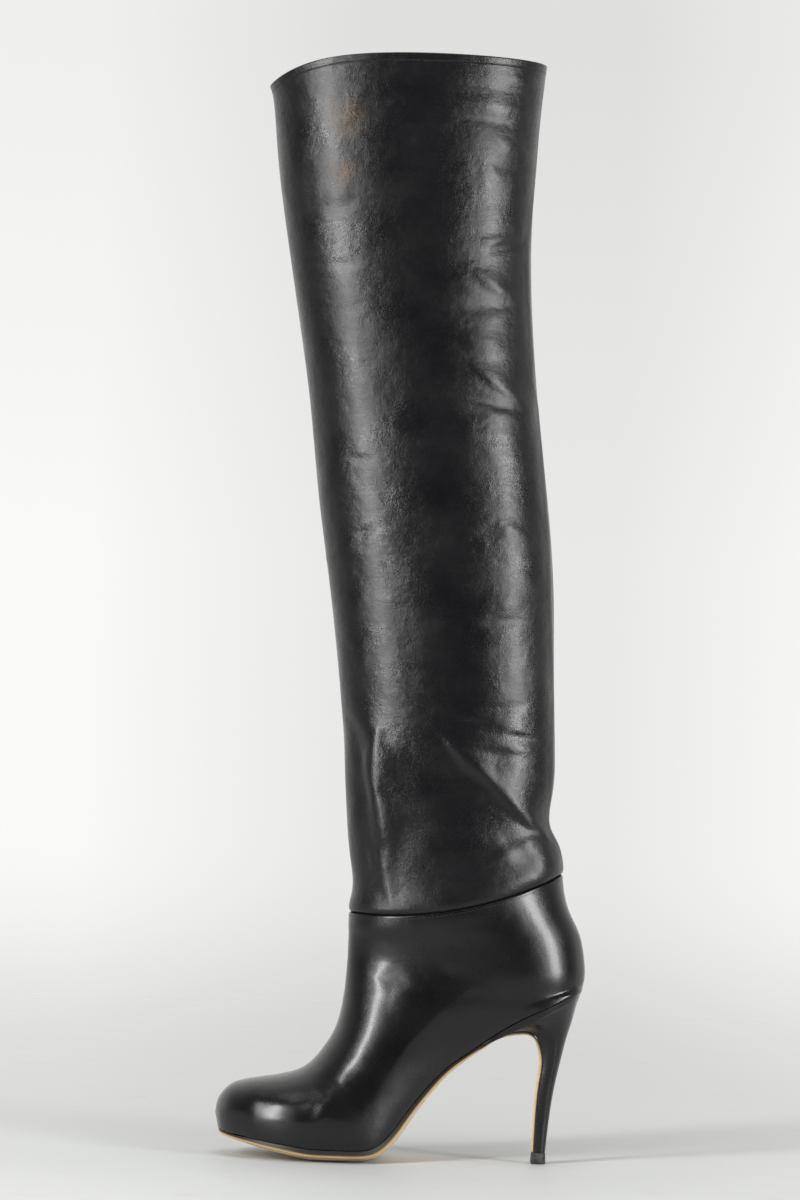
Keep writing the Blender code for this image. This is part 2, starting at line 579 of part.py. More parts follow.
def main():
    for thing in list(bpy.data.objects):
        bpy.data.objects.remove(thing, do_unlink=True)
    collection = bpy.data.collections.new("thigh_high_boot")
    bpy.context.scene.collection.children.link(collection)

    rows, knots = boot_rows()
    places, smooth = rows_between(rows, knots, FINER)
    grid = boot_grid(smooth)
    closed_from = int(np.argmin(np.abs(places - knots[SEAT_END])))
    labels = grid_labels(grid, closed_from)
    normals = grid_normals(grid, labels)
    bottom = Bottom(grid, places, knots)

    smooth_leather = make_material("smooth_black_leather", (0.012, 0.012, 0.014), 0.34, 0.25)
    soft_leather = make_material("soft_black_leather", (0.013, 0.013, 0.015), 0.42, 0.15)
    sole_leather = make_material("tan_sole_leather", (0.42, 0.27, 0.12), 0.55, 0.1)
    rubber = make_material("black_rubber", (0.02, 0.02, 0.02), 0.7, 0.0)
    lining = make_material("insole_leather", (0.45, 0.34, 0.22), 0.6, 0.0)

    pieces = (
        ("upper", make_upper(grid, normals, labels, places, knots, bottom), smooth_leather),
        ("shaft", make_shaft(grid, normals, labels, places, knots), soft_leather),
        ("outsole", make_sole(bottom, knots), sole_leather),
        ("heel", make_heel(bottom), smooth_leather),
        ("top_piece", make_top_piece(), rubber),
        ("insole", make_insole(bottom, knots), lining),
    )
    things = [new_object(name, *mesh, material, collection) for name, mesh, material in pieces]
    centre_on_floor(things)


main()
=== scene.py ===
"""Dresses the thigh high boot for its photo: folded leather, seams, lining, sole, heel, light, camera.

The leather follows the same sections as the part's own source, sampled finely. Lengths are in metres, in
the part's frame: toe to -X, outer side of the foot to -Y, shaft along +Z, the floor at 0.
"""

import bmesh
import bpy
import numpy as np
from mathutils import Matrix, Vector

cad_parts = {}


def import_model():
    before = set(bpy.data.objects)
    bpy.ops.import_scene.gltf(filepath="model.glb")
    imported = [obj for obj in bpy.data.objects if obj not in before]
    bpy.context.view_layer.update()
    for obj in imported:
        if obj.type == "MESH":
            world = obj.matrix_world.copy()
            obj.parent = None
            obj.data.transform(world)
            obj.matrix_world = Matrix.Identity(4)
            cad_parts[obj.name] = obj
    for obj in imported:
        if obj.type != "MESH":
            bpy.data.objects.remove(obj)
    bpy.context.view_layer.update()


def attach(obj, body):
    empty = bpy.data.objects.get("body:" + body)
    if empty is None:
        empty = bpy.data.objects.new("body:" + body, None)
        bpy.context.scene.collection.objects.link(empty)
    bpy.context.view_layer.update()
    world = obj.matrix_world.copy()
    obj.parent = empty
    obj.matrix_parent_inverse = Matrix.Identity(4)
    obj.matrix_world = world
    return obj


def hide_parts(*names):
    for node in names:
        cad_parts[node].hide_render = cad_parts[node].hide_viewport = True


MM = 0.001

# Driving sizes of the last and the shaft, as in the part
FOOT_LENGTH = 0.222
BALL_WIDTH = 0.086
SEAT_HEIGHT = 0.108
TOE_SPRING = 0.0072
ANKLE_RISE = 0.0413
SEAM_CLIMB = 0.0272
SHAFT_HEIGHT = 0.520
SHAFT_LEAN = 0.047
SHAFT_DEPTH = 0.169
SHAFT_WIDTH = 0.100
TOP_DIP = 0.0185
TOP_DIP_REACH = 0.15

# Walls, soles and clearances
GAP = 0.0003
UPPER_WALL = 0.0016
UPPER_EDGE = 0.0010
SHAFT_WALL = 0.0015
SOLE_EDGE = 0.0044
SOLE_CROWN = 0.0033
SOLE_INSET = 0.0006
INSOLE_BOARD = 0.0030
PLATFORM = 0.0095
INSOLE_CLEARANCE = 0.0020
# The sole's face is worn level where it comes this close to the floor
WORN_FLAT = 0.0001
# Along the bottom, from the sole's step down to the heel's lip
LIP_STEP = 0.0006
FLAP = 0.0014
TOP_PIECE = 0.0070
HEEL_WIDTH = 0.054

# Fineness of the visible leather: columns round a section, and the mean step between sections
COLUMNS = 176
HALF = COLUMNS // 2
ARC_POINTS = 101
ROW_STEP = 2.15 * MM
# Distances from an edge at which extra rows let it be rounded
EDGE_STEPS = np.array((0.12, 0.3, 0.55, 0.9, 1.4)) * MM

# Edges, seams and stitches
TOP_STITCH_DROP = 4.6 * MM
FACING_DEPTH = 24 * MM
HEM_DEPTH = 9 * MM
HEM_BLEND = 1.2 * MM
HEM_RISE = 0.15 * MM
ANKLE_STITCH_DROP = 1.7 * MM
PILLOW_START = 1.4 * MM
PILLOW_RISE = 0.9 * MM
PILLOW_AT = 9 * MM
STITCH_LENGTH = 2.0 * MM
STITCH_PITCH = 2.7 * MM
STITCH_RADIUS = 0.17 * MM
STITCH_CHANNEL = 0.7 * MM
STITCH_SIDES = 6
# Along a stitch from its middle, and round it: shares of half its length and of its radius
STITCH_PROFILE = ((-1.0, 0.25), (-0.75, 0.85), (0.0, 1.0), (0.75, 0.85), (1.0, 0.25))

# The back seam's wandering line: height, and distance round to the outer side from the back, in mm
BACK_SEAM = (
    (690, 3), (640, 3), (600, 5), (556, 14), (520, 13), (494, 12), (478, 16), (460, 8), (435, 9),
    (413, 12), (381, 13), (346, 16), (311, 12), (285, 9), (255, 12), (224, 10), (205, 8), (188, 3),
    (170, 0),
)

# A fold is narrower toward its ends, and fades out past the boot's middle plane over SIDE_BLEND
FOLD_TAPER = 0.55
FOLD_NARROWEST = 0.35
SIDE_BLEND = 6 * MM
# Folds of the shaft in mm on the side view: start x, z, end x, z, half width, height, skew.
# Ridges stand out, troughs have a negative height. Skew, a share, makes one flank steeper.
SHAFT_FOLDS = {
    "outer": (
        (-40, 268, -30, 240, 6, -1.6, 0), (-31, 243, -22, 182, 5.5, -1.5, 0),
        (-22, 256, -22, 222, 7.5, 2, 0.3), (-20, 226, -12, 188, 7, 1.6, 0),
        (-25, 254, -17, 190, 15, 2.4, 0), (20, 257, 46, 234, 7, 2, 0.6), (42, 238, 80, 202, 6, 2.2, 0.6),
        (10, 238, 60, 200, 16, -1.3, 0), (27, 268, 74, 258, 4.2, -1.3, 0),
        (38, 275, 68, 279, 3.2, -0.9, 0), (34, 262, 70, 264, 4.2, 0.9, 0),
        (35, 251, 72, 247, 3.2, -0.8, 0), (60, 196, 80, 178, 6, -1, 0), (52, 186, 76, 198, 4.5, 1, 0),
        (58, 170, 84, 180, 4, 0.6, 0), (74, 204, 82, 172, 12, 1.4, 0), (-21, 190, -11, 193, 2.6, -0.9, 0),
        (-16, 184, -10, 160, 5, 1, 0), (35, 552, 60, 561, 3.2, -0.9, 0), (30, 557, 47, 560, 2.6, 0.7, 0),
        (28, 538, 50, 525, 5, 1.1, 0.5), (14, 516, 50, 521, 5.5, -1.1, 0), (20, 500, 44, 494, 8, 0.9, 0),
        (33, 621, 56, 612, 4, 0.8, 0.4), (36, 605, 60, 600, 4, -0.8, 0), (0, 642, 58, 638, 4.5, 0.7, 0),
        (10, 632, 62, 629, 3.5, -0.8, 0), (43, 657, 60, 656, 3, 0.6, 0), (20, 652, 64, 648, 3, -0.6, 0),
        (-66, 580, -50, 582, 2.6, 0.6, 0), (-62, 540, -42, 542, 3.4, -0.6, 0),
        (28, 482, 58, 462, 5, 1.2, 0.6), (12, 466, 56, 457, 4, -1.1, 0), (15, 453, 40, 454, 1.8, -0.4, 0),
        (29, 439, 52, 438, 1.8, -0.4, 0), (20, 376, 40, 391, 5, 0.7, 0.4),
        (40, 391, 68, 378, 5, 0.7, -0.4), (24, 366, 66, 362, 6, -0.7, 0), (38, 328, 67, 330, 3.2, -0.9, 0),
        (34, 338, 66, 341, 5, 0.7, 0), (-46, 424, -30, 424, 2.4, -0.7, 0),
        (-42, 378, -28, 382, 2.6, -0.8, 0), (-56, 363, -42, 374, 4, 0.7, 0),
    ),
    "inner": (
        (-34, 256, -20, 190, 6.5, -1.5, 0), (-20, 248, -12, 200, 7, 1.6, 0), (18, 262, 74, 212, 7, 2, 0.5),
        (16, 240, 62, 204, 12, -1.2, 0), (30, 276, 72, 266, 4.2, -1.2, 0), (36, 268, 70, 250, 4, 0.9, 0),
        (56, 186, 80, 200, 5, 1, 0), (30, 470, 60, 458, 4.5, -1, 0), (26, 484, 58, 474, 5.5, 1, 0),
        (20, 522, 54, 528, 5, -1, 0), (24, 566, 60, 556, 4, -0.8, 0), (-60, 500, -40, 504, 4, -0.7, 0),
        (-44, 396, -26, 402, 4, -0.7, 0), (30, 350, 66, 342, 5, 0.8, 0), (30, 316, 66, 322, 4, -0.8, 0),
        (16, 636, 62, 642, 4, -0.7, 0),
    ),
}

# Soft dents and swells of the foot, written the same way
FOOT_FOLDS = {
    "outer": (
        (-16, 113, 2, 108, 5, -0.55, 0), (-8, 100, 6, 96, 7, 0.35, 0), (-103, 30, -90, 30, 18, -0.8, 0),
        (-50, 34, -42, 30, 9, 0.8, 0), (-55, 52, -47, 42, 4.5, -0.35, 0), (-46, 56, -36, 46, 4, -0.35, 0),
        (22, 118, 40, 96, 12, -0.5, 0),
    ),
    "inner": (
        (-14, 112, 6, 106, 6, -0.5, 0), (-52, 50, -30, 34, 6, -0.35, 0), (20, 112, 40, 94, 12, -0.5, 0),
    ),
}

# The sole's corners and the crown's flat share, the heel's columns, and steps along both
SOLE_CORNER = 0.8 * MM
FLAP_CORNER = 0.5 * MM
CROWN_FLAT = 0.52
CORNER_STEPS = 5
FACE_STEPS = 14
FLAP_STEP = 1.2 * MM
HEEL_STEP = 1.2 * MM
HEEL_POINTS = 40
# Top piece from its top to the floor: share of its height, share of TOP_PIECE_SPREAD
TOP_PIECE_RINGS = ((1.0, -0.6), (0.94, 0.2), (0.5, 0.6), (0.1, 1.0), (0.03, 0.7), (0.0, -0.3))

FEWEST_STEPS = 3
PLACE_DIGITS = 6
SAME_PLACE = 1e-6
SHARP_ANGLE = 40
# Rounding of the foot leather where it meets the sole and the heel
FEATHER_ROUND = 0.8 * MM
FEATHER_STEPS = np.array((0.0, 0.15, 0.4, 0.8, 1.3, 2.0)) * MM
FEATHER_ROOM = 20 * MM
# Evening out of the counter: distance from the seat's edge for full effect, and times over
COUNTER_EDGE = 12 * MM
COUNTER_PASSES = 30
# Evening out of the sole's face at the heel's lip: times over, and reach in sections
LIP_PASSES = 14
LIP_REACH = 5
# Numbers stored round the sole's section, 0 at its top: at the corner's start, its end and on the face
CORNER_START = 0.2
CORNER_END = 1.0
ON_FACE = 2.0
# The back seam: its ridge, how far under the top the ridge fades, and the dark line's half width
SEAM_RIDGE = 0.5 * MM
SEAM_RIDGE_WIDTH = 3.0 * MM
RIDGE_FADE = 12 * MM
SEAM_LINE = 0.35 * MM
# Marks on the leg: centre and radius
OCHRE_MARKS = (((-0.0555, -0.043, 0.629), 0.016), ((-0.0545, -0.042, 0.596), 0.011))
# Height over the floor up to which the sole turns darker brown
BROWN_HEIGHT = 4.5 * MM

# Camera of the photo, in the part's frame, and the height of the photo at the boot
CAMERA_AIM = (-0.0101, 0.0, 0.3404)
CAMERA_AZIMUTH = -2.0
CAMERA_DISTANCE = 2.8
CAMERA_HEIGHT = 0.3088
CAMERA_ROLL = 2.1
PHOTO_HEIGHT = 0.732
SENSOR = 36.0

# Floor: distance from the boot where it starts to fade and where it ends
FLOOR_FADE = (0.1, 9.0)
FLOOR_FADE_POWER = 8.0
# Y in front of the boot where it starts to show, and from which it is whole
FLOOR_FRONT = (-0.9, -0.4)
FLOOR_POINTS = 96
# How far it lies under the sole, to keep the two apart
FLOOR_DROP = 0.05 * MM
# Surroundings: place from the camera's side to the far side, and colour
WORLD_DARK = (0.40, (0.022, 0.022, 0.024, 1.0))
WORLD_PALE = (0.80, (0.95, 0.95, 0.935, 1.0))
# The backdrop is dimmer behind the boot and above it: middle in X; start, end and dimmed strength
BACKDROP_MIDDLE = 0.052
BACKDROP_SIDES = (0.03, 0.085, 0.86)
BACKDROP_TOP = (0.02, 0.13, 0.91)
# Height that the lights look at
LIGHT_AIM = 0.33
# Soft boxes: name, azimuth, height, distance, width and height, watts
LIGHTS = (
    ("toe_side_strip", -47, 0.75, 1.9, (0.26, 1.9), 52),
    ("heel_side_strip", 57, 0.42, 1.9, (0.40, 1.25), 37),
    ("top_fill", 0, 2.2, 0.30, (1.1, 1.1), 20),
)

BALL_LIFT = GAP + SOLE_EDGE + SOLE_CROWN
SEAT_RISE = SEAT_HEIGHT - BALL_LIFT
ANKLE_HEIGHT = SEAT_HEIGHT + ANKLE_RISE
VAMP_RISE = ANKLE_HEIGHT - BALL_LIFT
HALF_LENGTH = FOOT_LENGTH / 2

# Sections of the foot, from the toe to the seam at the ankle. Each is a slanted cut through the last.
# reach: from the back of the heel, share of FOOT_LENGTH. spring, rise: height of the bottom over the
# ball, shares of TOE_SPRING and SEAT_RISE. top: its reach and its share of VAMP_RISE. feather: half widths
# where upper meets sole, wide: greatest half widths, outer and inner side, shares of BALL_WIDTH.
# ridge: side shift of the top line, share of BALL_WIDTH. belly: height share of the greatest width.
# low, crown: roundness under and over the belly, 1 for straight and 2 for an ellipse.
FOOT_SECTIONS = (
    # name, reach, spring, rise, top reach, top, feather out, in, wide out, in, ridge, belly, low, crown
    ("toe tip", 0.9919, 1.000, 0.000, 1.0000, 0.118, -0.050, 0.050, -0.050, 0.050, 0.050, 0.45, 1.90, 2.0),
    ("toe edge", 0.9865, 0.975, 0.000, 0.9975, 0.158, 0.052, 0.160, 0.062, 0.172, 0.050, 0.44, 1.85, 2.0),
    ("toe cap", 0.9700, 0.870, 0.000, 0.9883, 0.195, 0.138, 0.245, 0.155, 0.262, 0.048, 0.42, 1.80, 2.1),
    ("toe", 0.9430, 0.755, 0.000, 0.9650, 0.236, 0.226, 0.315, 0.250, 0.338, 0.045, 0.40, 1.75, 2.2),
    ("toe back", 0.9050, 0.620, 0.000, 0.9273, 0.262, 0.305, 0.368, 0.335, 0.396, 0.040, 0.38, 1.75, 2.3),
    ("joints", 0.8550, 0.430, 0.000, 0.8750, 0.278, 0.372, 0.415, 0.408, 0.448, 0.034, 0.37, 1.75, 2.2),
    ("vamp", 0.7950, 0.220, 0.000, 0.8270, 0.292, 0.425, 0.450, 0.464, 0.485, 0.028, 0.36, 1.75, 2.1),
    ("inner ball", 0.7400, 0.030, 0.000, 0.7830, 0.312, 0.445, 0.462, 0.492, 0.503, 0.022, 0.35, 1.75, 2.0),
    ("outer ball", 0.6760, 0.000, 0.000, 0.7480, 0.345, 0.452, 0.450, 0.502, 0.496, 0.018, 0.34, 1.75, 1.95),
    ("ball back", 0.6100, 0.000, 0.000, 0.7190, 0.397, 0.438, 0.412, 0.494, 0.474, 0.014, 0.34, 1.70, 1.9),
    ("break", 0.5650, 0.000, 0.020, 0.6990, 0.444, 0.402, 0.362, 0.474, 0.448, 0.011, 0.35, 1.60, 1.9),
    ("low arch", 0.5240, 0.000, 0.100, 0.6850, 0.484, 0.346, 0.300, 0.450, 0.421, 0.008, 0.36, 1.50, 1.9),
    ("arch", 0.4820, 0.000, 0.225, 0.6750, 0.527, 0.290, 0.244, 0.426, 0.396, 0.006, 0.37, 1.45, 1.9),
    ("waist", 0.4330, 0.000, 0.361, 0.6675, 0.574, 0.243, 0.203, 0.406, 0.375, 0.004, 0.38, 1.40, 1.9),
    ("shank", 0.3700, 0.000, 0.507, 0.6625, 0.622, 0.220, 0.180, 0.392, 0.366, 0.003, 0.39, 1.32, 1.95),
    ("heel lip", 0.2980, 0.000, 0.623, 0.6590, 0.666, 0.224, 0.196, 0.385, 0.368, 0.002, 0.40, 1.25, 2.0),
    ("seat front", 0.2300, 0.000, 0.735, 0.6570, 0.704, 0.266, 0.252, 0.383, 0.372, 0.001, 0.41, 1.25, 2.0),
    ("seat", 0.1600, 0.000, 0.829, 0.6555, 0.740, 0.309, 0.303, 0.384, 0.377, 0.000, 0.42, 1.30, 2.0),
    ("seat back", 0.0900, 0.000, 0.905, 0.6545, 0.771, 0.300, 0.298, 0.387, 0.382, 0.000, 0.43, 1.27, 2.0),
    ("seat curve", 0.0400, 0.000, 0.959, 0.6540, 0.793, 0.226, 0.225, 0.390, 0.386, 0.000, 0.44, 1.75, 2.0),
    ("seat edge", 0.0140, 0.000, 0.985, 0.6538, 0.807, 0.118, 0.118, 0.392, 0.389, 0.000, 0.45, 2.00, 2.0),
    ("seat end", 0.0055, 0.000, 1.000, 0.6536, 0.818, 0.000, 0.000, 0.394, 0.391, 0.000, 0.45, 2.32, 2.0),
    ("counter", 0.0000, 0.000, 1.070, 0.6534, 0.842, 0.000, 0.000, 0.396, 0.394, 0.000, 0.46, 2.32, 2.0),
    ("heel bulge", 0.0030, 0.000, 1.175, 0.6534, 0.868, 0.000, 0.000, 0.400, 0.398, 0.000, 0.46, 2.30, 2.05),
    ("heel top", 0.0200, 0.000, 1.335, 0.6534, 0.895, 0.000, 0.000, 0.412, 0.409, 0.000, 0.45, 2.18, 2.05),
    ("tendon", 0.0500, 0.000, 1.470, 0.6536, 0.922, 0.000, 0.000, 0.427, 0.423, 0.000, 0.45, 2.08, 2.1),
    ("lap", 0.0660, 0.000, 1.594, 0.6541, 0.945, 0.000, 0.000, 0.438, 0.434, 0.000, 0.46, 2.00, 2.1),
    ("ankle seam", 0.0720, 0.000, 1.688, 0.6536, 1.000, 0.000, 0.000, 0.447, 0.444, 0.000, 0.47, 2.00, 2.1),
)
FOOT_NAMES = [section[0] for section in FOOT_SECTIONS]
SEAT_END, LAP, SEAM = (FOOT_NAMES.index(name) for name in ("seat end", "lap", "ankle seam"))
# Values of a section that bend at the seat's end: bottom x and z, and the feather's two sides
BOTTOM_COLUMNS = (0, 1, 4, 5)
# Sag of the ankle seam between its front and its back
SEAM_SAG = -0.0084

# Sections of the shaft above the seam. front, back: levels over the seam's front, shares of SHAFT_HEIGHT.
# lean: how far the middle has moved forward, share of SHAFT_LEAN. depth, width: shares of SHAFT_DEPTH and
# SHAFT_WIDTH. belly: where the greatest width lies, from back to front. sag: share of SEAM_SAG.
SHAFT_SECTIONS = (
    # name, front, back, lean, depth, width, belly, sag
    ("hem", 0.0075, 0.0620, 0.005, 0.757, 0.770, 0.47, 0.93),
    ("ankle notch", 0.028, 0.0847, 0.015, 0.730, 0.755, 0.47, 0.75),
    ("kink", 0.067, 0.1090, 0.100, 0.716, 0.760, 0.47, 0.45),
    ("above kink", 0.122, 0.1480, 0.122, 0.741, 0.785, 0.47, 0.15),
    ("shin", 0.192, 0.1940, 0.148, 0.762, 0.820, 0.47, 0.0),
    ("low calf", 0.291, 0.2900, 0.234, 0.781, 0.875, 0.46, 0.0),
    ("calf", 0.3935, 0.3860, 0.338, 0.814, 0.920, 0.45, 0.0),
    ("high calf", 0.486, 0.4860, 0.477, 0.828, 0.932, 0.45, 0.0),
    ("knee", 0.604, 0.6036, 0.651, 0.826, 0.925, 0.46, 0.0),
    ("over knee", 0.688, 0.6880, 0.779, 0.843, 0.925, 0.47, 0.0),
    ("low thigh", 0.7825, 0.7750, 0.902, 0.879, 0.945, 0.48, 0.0),
    ("thigh", 0.8845, 0.8800, 0.982, 0.933, 0.970, 0.48, 0.0),
    ("under edge", 0.950, 0.9640, 0.998, 0.972, 0.990, 0.48, 0.0),
    ("top edge", 1.000, 1.0000, 1.000, 1.000, 1.000, 0.48, 0.0),
)
# Roundness of the shaft's sections in front and behind
SHAFT_CROWN = 2.1
SHAFT_BACK_ROUND = 2.05

# Thickness of the sole under named sections: shares of SOLE_EDGE and of SOLE_CROWN
SOLE_ROWS = (
    ("toe tip", 0.36, 0.05),
    ("toe cap", 0.45, 0.18),
    ("toe back", 0.62, 0.50),
    ("vamp", 0.93, 0.90),
    ("inner ball", 1.00, 1.00),
    ("ball back", 1.00, 1.00),
    ("break", 0.98, 0.86),
    ("arch", 0.84, 0.56),
    ("shank", 0.62, 0.38),
    ("heel lip", 0.44, 0.22),
)

# Heel and the sole's flap down its front, from the lip under the shank to the top piece.
# front, back: reach and height of the flap's face and the heel's back, shares of FOOT_LENGTH and
# SEAT_HEIGHT. flap, width: half widths, shares of HEEL_WIDTH. seat: how far the section keeps the
# outline of the seat above it, 1 for all of it.
HEEL_ROWS = (
    # name, front reach, height, back reach, height, flap, width, seat
    ("lip", 0.2790, 0.645, 0.0060, 0.985, 0.362, 0.490, 0.95),
    ("lip back", 0.2410, 0.701, 0.0110, 0.955, 0.334, 0.462, 0.80),
    ("breast top", 0.2060, 0.724, 0.0170, 0.920, 0.290, 0.416, 0.60),
    ("breast", 0.1720, 0.732, 0.0235, 0.872, 0.243, 0.356, 0.40),
    ("breast curve", 0.1490, 0.727, 0.0300, 0.815, 0.206, 0.292, 0.25),
    ("breast back", 0.1330, 0.702, 0.0385, 0.755, 0.178, 0.236, 0.12),
    ("stem top", 0.1220, 0.655, 0.0470, 0.690, 0.156, 0.198, 0.0),
    ("stem", 0.1153, 0.587, 0.0570, 0.595, 0.137, 0.165, 0.0),
    ("mid stem", 0.1198, 0.471, 0.0690, 0.475, 0.116, 0.135, 0.0),
    ("low stem", 0.1261, 0.301, 0.0815, 0.303, 0.091, 0.103, 0.0),
)
STEM_END = ("stem end", 0.1290, 0.0915, 0.072, 0.080)
# Across a heel section: the share of its depth where it is widest, and the roundness of its back
HEEL_WIDEST = 0.42
HEEL_BACK_ROUND = 2.0
# Share of the depth, from the front, over which the seat's outline comes in
SEAT_BLEND = 0.2
# How far the top piece spreads beyond the stem
TOP_PIECE_SPREAD = 0.0004

# Thickness of the insole over named sections, from INSOLE_BOARD at 0 to PLATFORM at 1
INSOLE_ROWS = (
    ("toe tip", 0.75),
    ("toe", 1.0),
    ("ball back", 1.0),
    ("low arch", 0.35),
    ("arch", 0.0),
    ("seat end", 0.0),
)


def track(values, knots, places):
    """Natural cubic splines through the rows of values at the knots, read at the places."""
    flat = np.asarray(values, float).reshape(len(knots), -1)
    steps = np.diff(knots)
    count = len(knots)
    matrix = np.eye(count)
    right = np.zeros(flat.shape)
    for k in range(1, count - 1):
        matrix[k, k - 1:k + 2] = steps[k - 1], 2 * (steps[k - 1] + steps[k]), steps[k]
        right[k] = 6 * ((flat[k + 1] - flat[k]) / steps[k] - (flat[k] - flat[k - 1]) / steps[k - 1])
    bend = np.linalg.solve(matrix, right)
    part = np.clip(np.searchsorted(knots, places, side="right") - 1, 0, count - 2)
    h = steps[part][:, None]
    a = ((knots[part + 1] - places) / steps[part])[:, None]
    b = 1 - a
    curve = ((a ** 3 - a) * bend[part] + (b ** 3 - b) * bend[part + 1]) * h * h / 6
    return a * flat[part] + b * flat[part + 1] + curve


def running(steps):
    """0 and the running sums of the steps."""
    return np.concatenate(([0.0], np.cumsum(steps)))


def round_length(grid):
    """Length along each row of a grid, from the outer side's edge."""
    step = np.linalg.norm(np.diff(grid, axis=1), axis=2)
    return np.hstack((np.zeros((len(grid), 1)), np.cumsum(step, axis=1)))


def nearer_edge(length):
    """Lengths along each row from whichever of its edges is nearer."""
    return np.minimum(length, length[:, -1:] - length)


def evened(rows, times):
    """Rows averaged with their neighbours, over and over; the first and the last stay."""
    even = rows.copy()
    for _ in range(times):
        even[1:-1] = (even[:-2] + 2 * even[1:-1] + even[2:]) / 4
    return even


def row_at(places, place):
    """Number of the row that lies at a place."""
    return int(np.argmin(np.abs(places - place)))


def along(reach):
    """X of a reach from the back of the heel."""
    return HALF_LENGTH - reach * FOOT_LENGTH


def foot_rows():
    """Foot sections as rows of lengths: bottom x, z, top x, z, feather, wide, ridge, belly, low, crown."""
    rows = []
    for index, section in enumerate(FOOT_SECTIONS):
        reach, spring, rise, top_reach, top = section[1:6]
        feather_out, feather_in, out, inner, ridge, belly, low, crown = section[6:]
        bottom_z = BALL_LIFT + spring * TOE_SPRING + rise * SEAT_RISE
        if index == SEAM:
            bottom_z = ANKLE_HEIGHT + SEAM_CLIMB
        sag = max(0, index - SEAT_END) / (SEAM - SEAT_END)
        rows.append((along(reach), bottom_z, along(top_reach), BALL_LIFT + top * VAMP_RISE,
                     -feather_out * BALL_WIDTH, feather_in * BALL_WIDTH, -out * BALL_WIDTH,
                     inner * BALL_WIDTH, ridge * BALL_WIDTH, belly, low, crown,
                     sag * SEAM_SAG, 0.0))
    return rows


def shaft_rows(seam):
    """Shaft sections as rows of the same lengths, from just above the seam's row."""
    rows = []
    seam_middle = (seam[0] + seam[2]) / 2
    for name, front, back, lean, depth, width, belly, sag in SHAFT_SECTIONS:
        middle = seam_middle - lean * SHAFT_LEAN
        reach = depth * SHAFT_DEPTH / 2
        side = width * SHAFT_WIDTH / 2
        dip = -TOP_DIP if name == "top edge" else 0.0
        rows.append((middle + reach, ANKLE_HEIGHT + back * SHAFT_HEIGHT,
                     middle - reach, ANKLE_HEIGHT + front * SHAFT_HEIGHT,
                     0.0, 0.0, -side, side, 0.0, belly, SHAFT_BACK_ROUND, SHAFT_CROWN,
                     sag * SEAM_SAG, dip))
    return rows


def boot_rows():
    """All sections, and their places along the boot."""
    rows = foot_rows()
    rows += shaft_rows(rows[SEAM])
    rows = np.array(rows)
    travel = np.hypot(*np.diff(rows[:, 0:2], axis=0).T) + np.hypot(*np.diff(rows[:, 2:4], axis=0).T)
    return rows, running(travel)


def smooth_rows(rows, knots):
    """Many sections between the given ones, closer together along the top edge and the ankle seam."""
    places = [knots[-1]]
    for start, end in zip(knots[:-1], knots[1:]):
        count = max(FEWEST_STEPS, round((end - start) / (2 * ROW_STEP)))
        places.extend(np.linspace(start, end, count, endpoint=False))
    places.extend(knots[-1] - 2 * EDGE_STEPS)
    places.extend(knots[SEAM] - 2 * EDGE_STEPS)
    places.extend(knots[SEAM] + 2 * EDGE_STEPS)
    places = np.unique(np.round(places, PLACE_DIGITS))
    smooth = track(rows, knots, places)
    split = SEAT_END + 1
    back = places > knots[SEAT_END] + SAME_PLACE
    for column in BOTTOM_COLUMNS:
        smooth[~back, column] = track(rows[:split, column], knots[:split], places[~back])[:, 0]
        smooth[back, column] = track(rows[SEAT_END:, column], knots[SEAT_END:], places[back])[:, 0]
    return places, smooth


def half_section(row, side):
    """Points of one side of a section, from its bottom edge up to the top line."""
    bottom_x, bottom_z, top_x, top_z = row[0:4]
    feather, wide = (row[4], row[6]) if side < 0 else (row[5], row[7])
    ridge, belly, low, crown, sag, dip = row[8:14]
    turn = np.linspace(0, np.pi / 2, ARC_POINTS)
    low_rise = belly * (1 - np.cos(turn) ** (2 / low))
    low_side = feather + (wide - feather) * np.sin(turn) ** (2 / low)
    high_rise = belly + (1 - belly) * np.sin(turn[1:]) ** (2 / crown)
    high_side = ridge + (wide - ridge) * np.cos(turn[1:]) ** (2 / crown)
    rise = np.concatenate((low_rise, high_rise))
    y = np.concatenate((low_side, high_side))
    x = bottom_x + (top_x - bottom_x) * rise
    z = bottom_z + (top_z - bottom_z) * rise + sag * 4 * rise * (1 - rise)
    z += dip * np.exp(-(1 - rise) / TOP_DIP_REACH)
    points = np.column_stack((x, y, z))
    length = running(np.linalg.norm(np.diff(points, axis=0), axis=1))
    near_edge = FEATHER_STEPS * min(1.0, length[-1] / FEATHER_ROOM)
    spaced = np.linspace(near_edge[-1], length[-1], HALF + 2 - len(near_edge))
    spaced = np.concatenate((near_edge[:-1], spaced))
    return np.column_stack([np.interp(spaced, length, points[:, k]) for k in range(3)])


def boot_grid(smooth):
    """Points of every section: outer edge, over the top line, to the inner edge."""
    return np.array([np.vstack((half_section(row, -1), half_section(row, 1)[-2::-1])) for row in smooth])


def even_counter(grid, places, knots):
    """Evens out the counter, where the sections turn from the seat's edge to the line of the back."""
    start, full, end = (knots[FOOT_NAMES.index(name)] for name in ("seat", "seat curve", "tendon"))
    rows = np.interp(places, (start, full, (full + end) / 2, end), (0, 1, 1, 0))
    share = rows[:, None] * np.clip(nearer_edge(round_length(grid)) / COUNTER_EDGE, 0, 1) ** 2
    return grid + (evened(grid, COUNTER_PASSES) - grid) * share[..., None]


def grid_labels(grid, closed_from):
    """Number of each grid point, with the toe's seam and the closed sections joined."""
    rows, columns = grid.shape[:2]
    labels = np.arange(rows * columns).reshape(rows, columns)
    labels[0] = np.minimum(labels[0], labels[0][::-1])
    labels[closed_from:, -1] = labels[closed_from:, 0]
    return labels


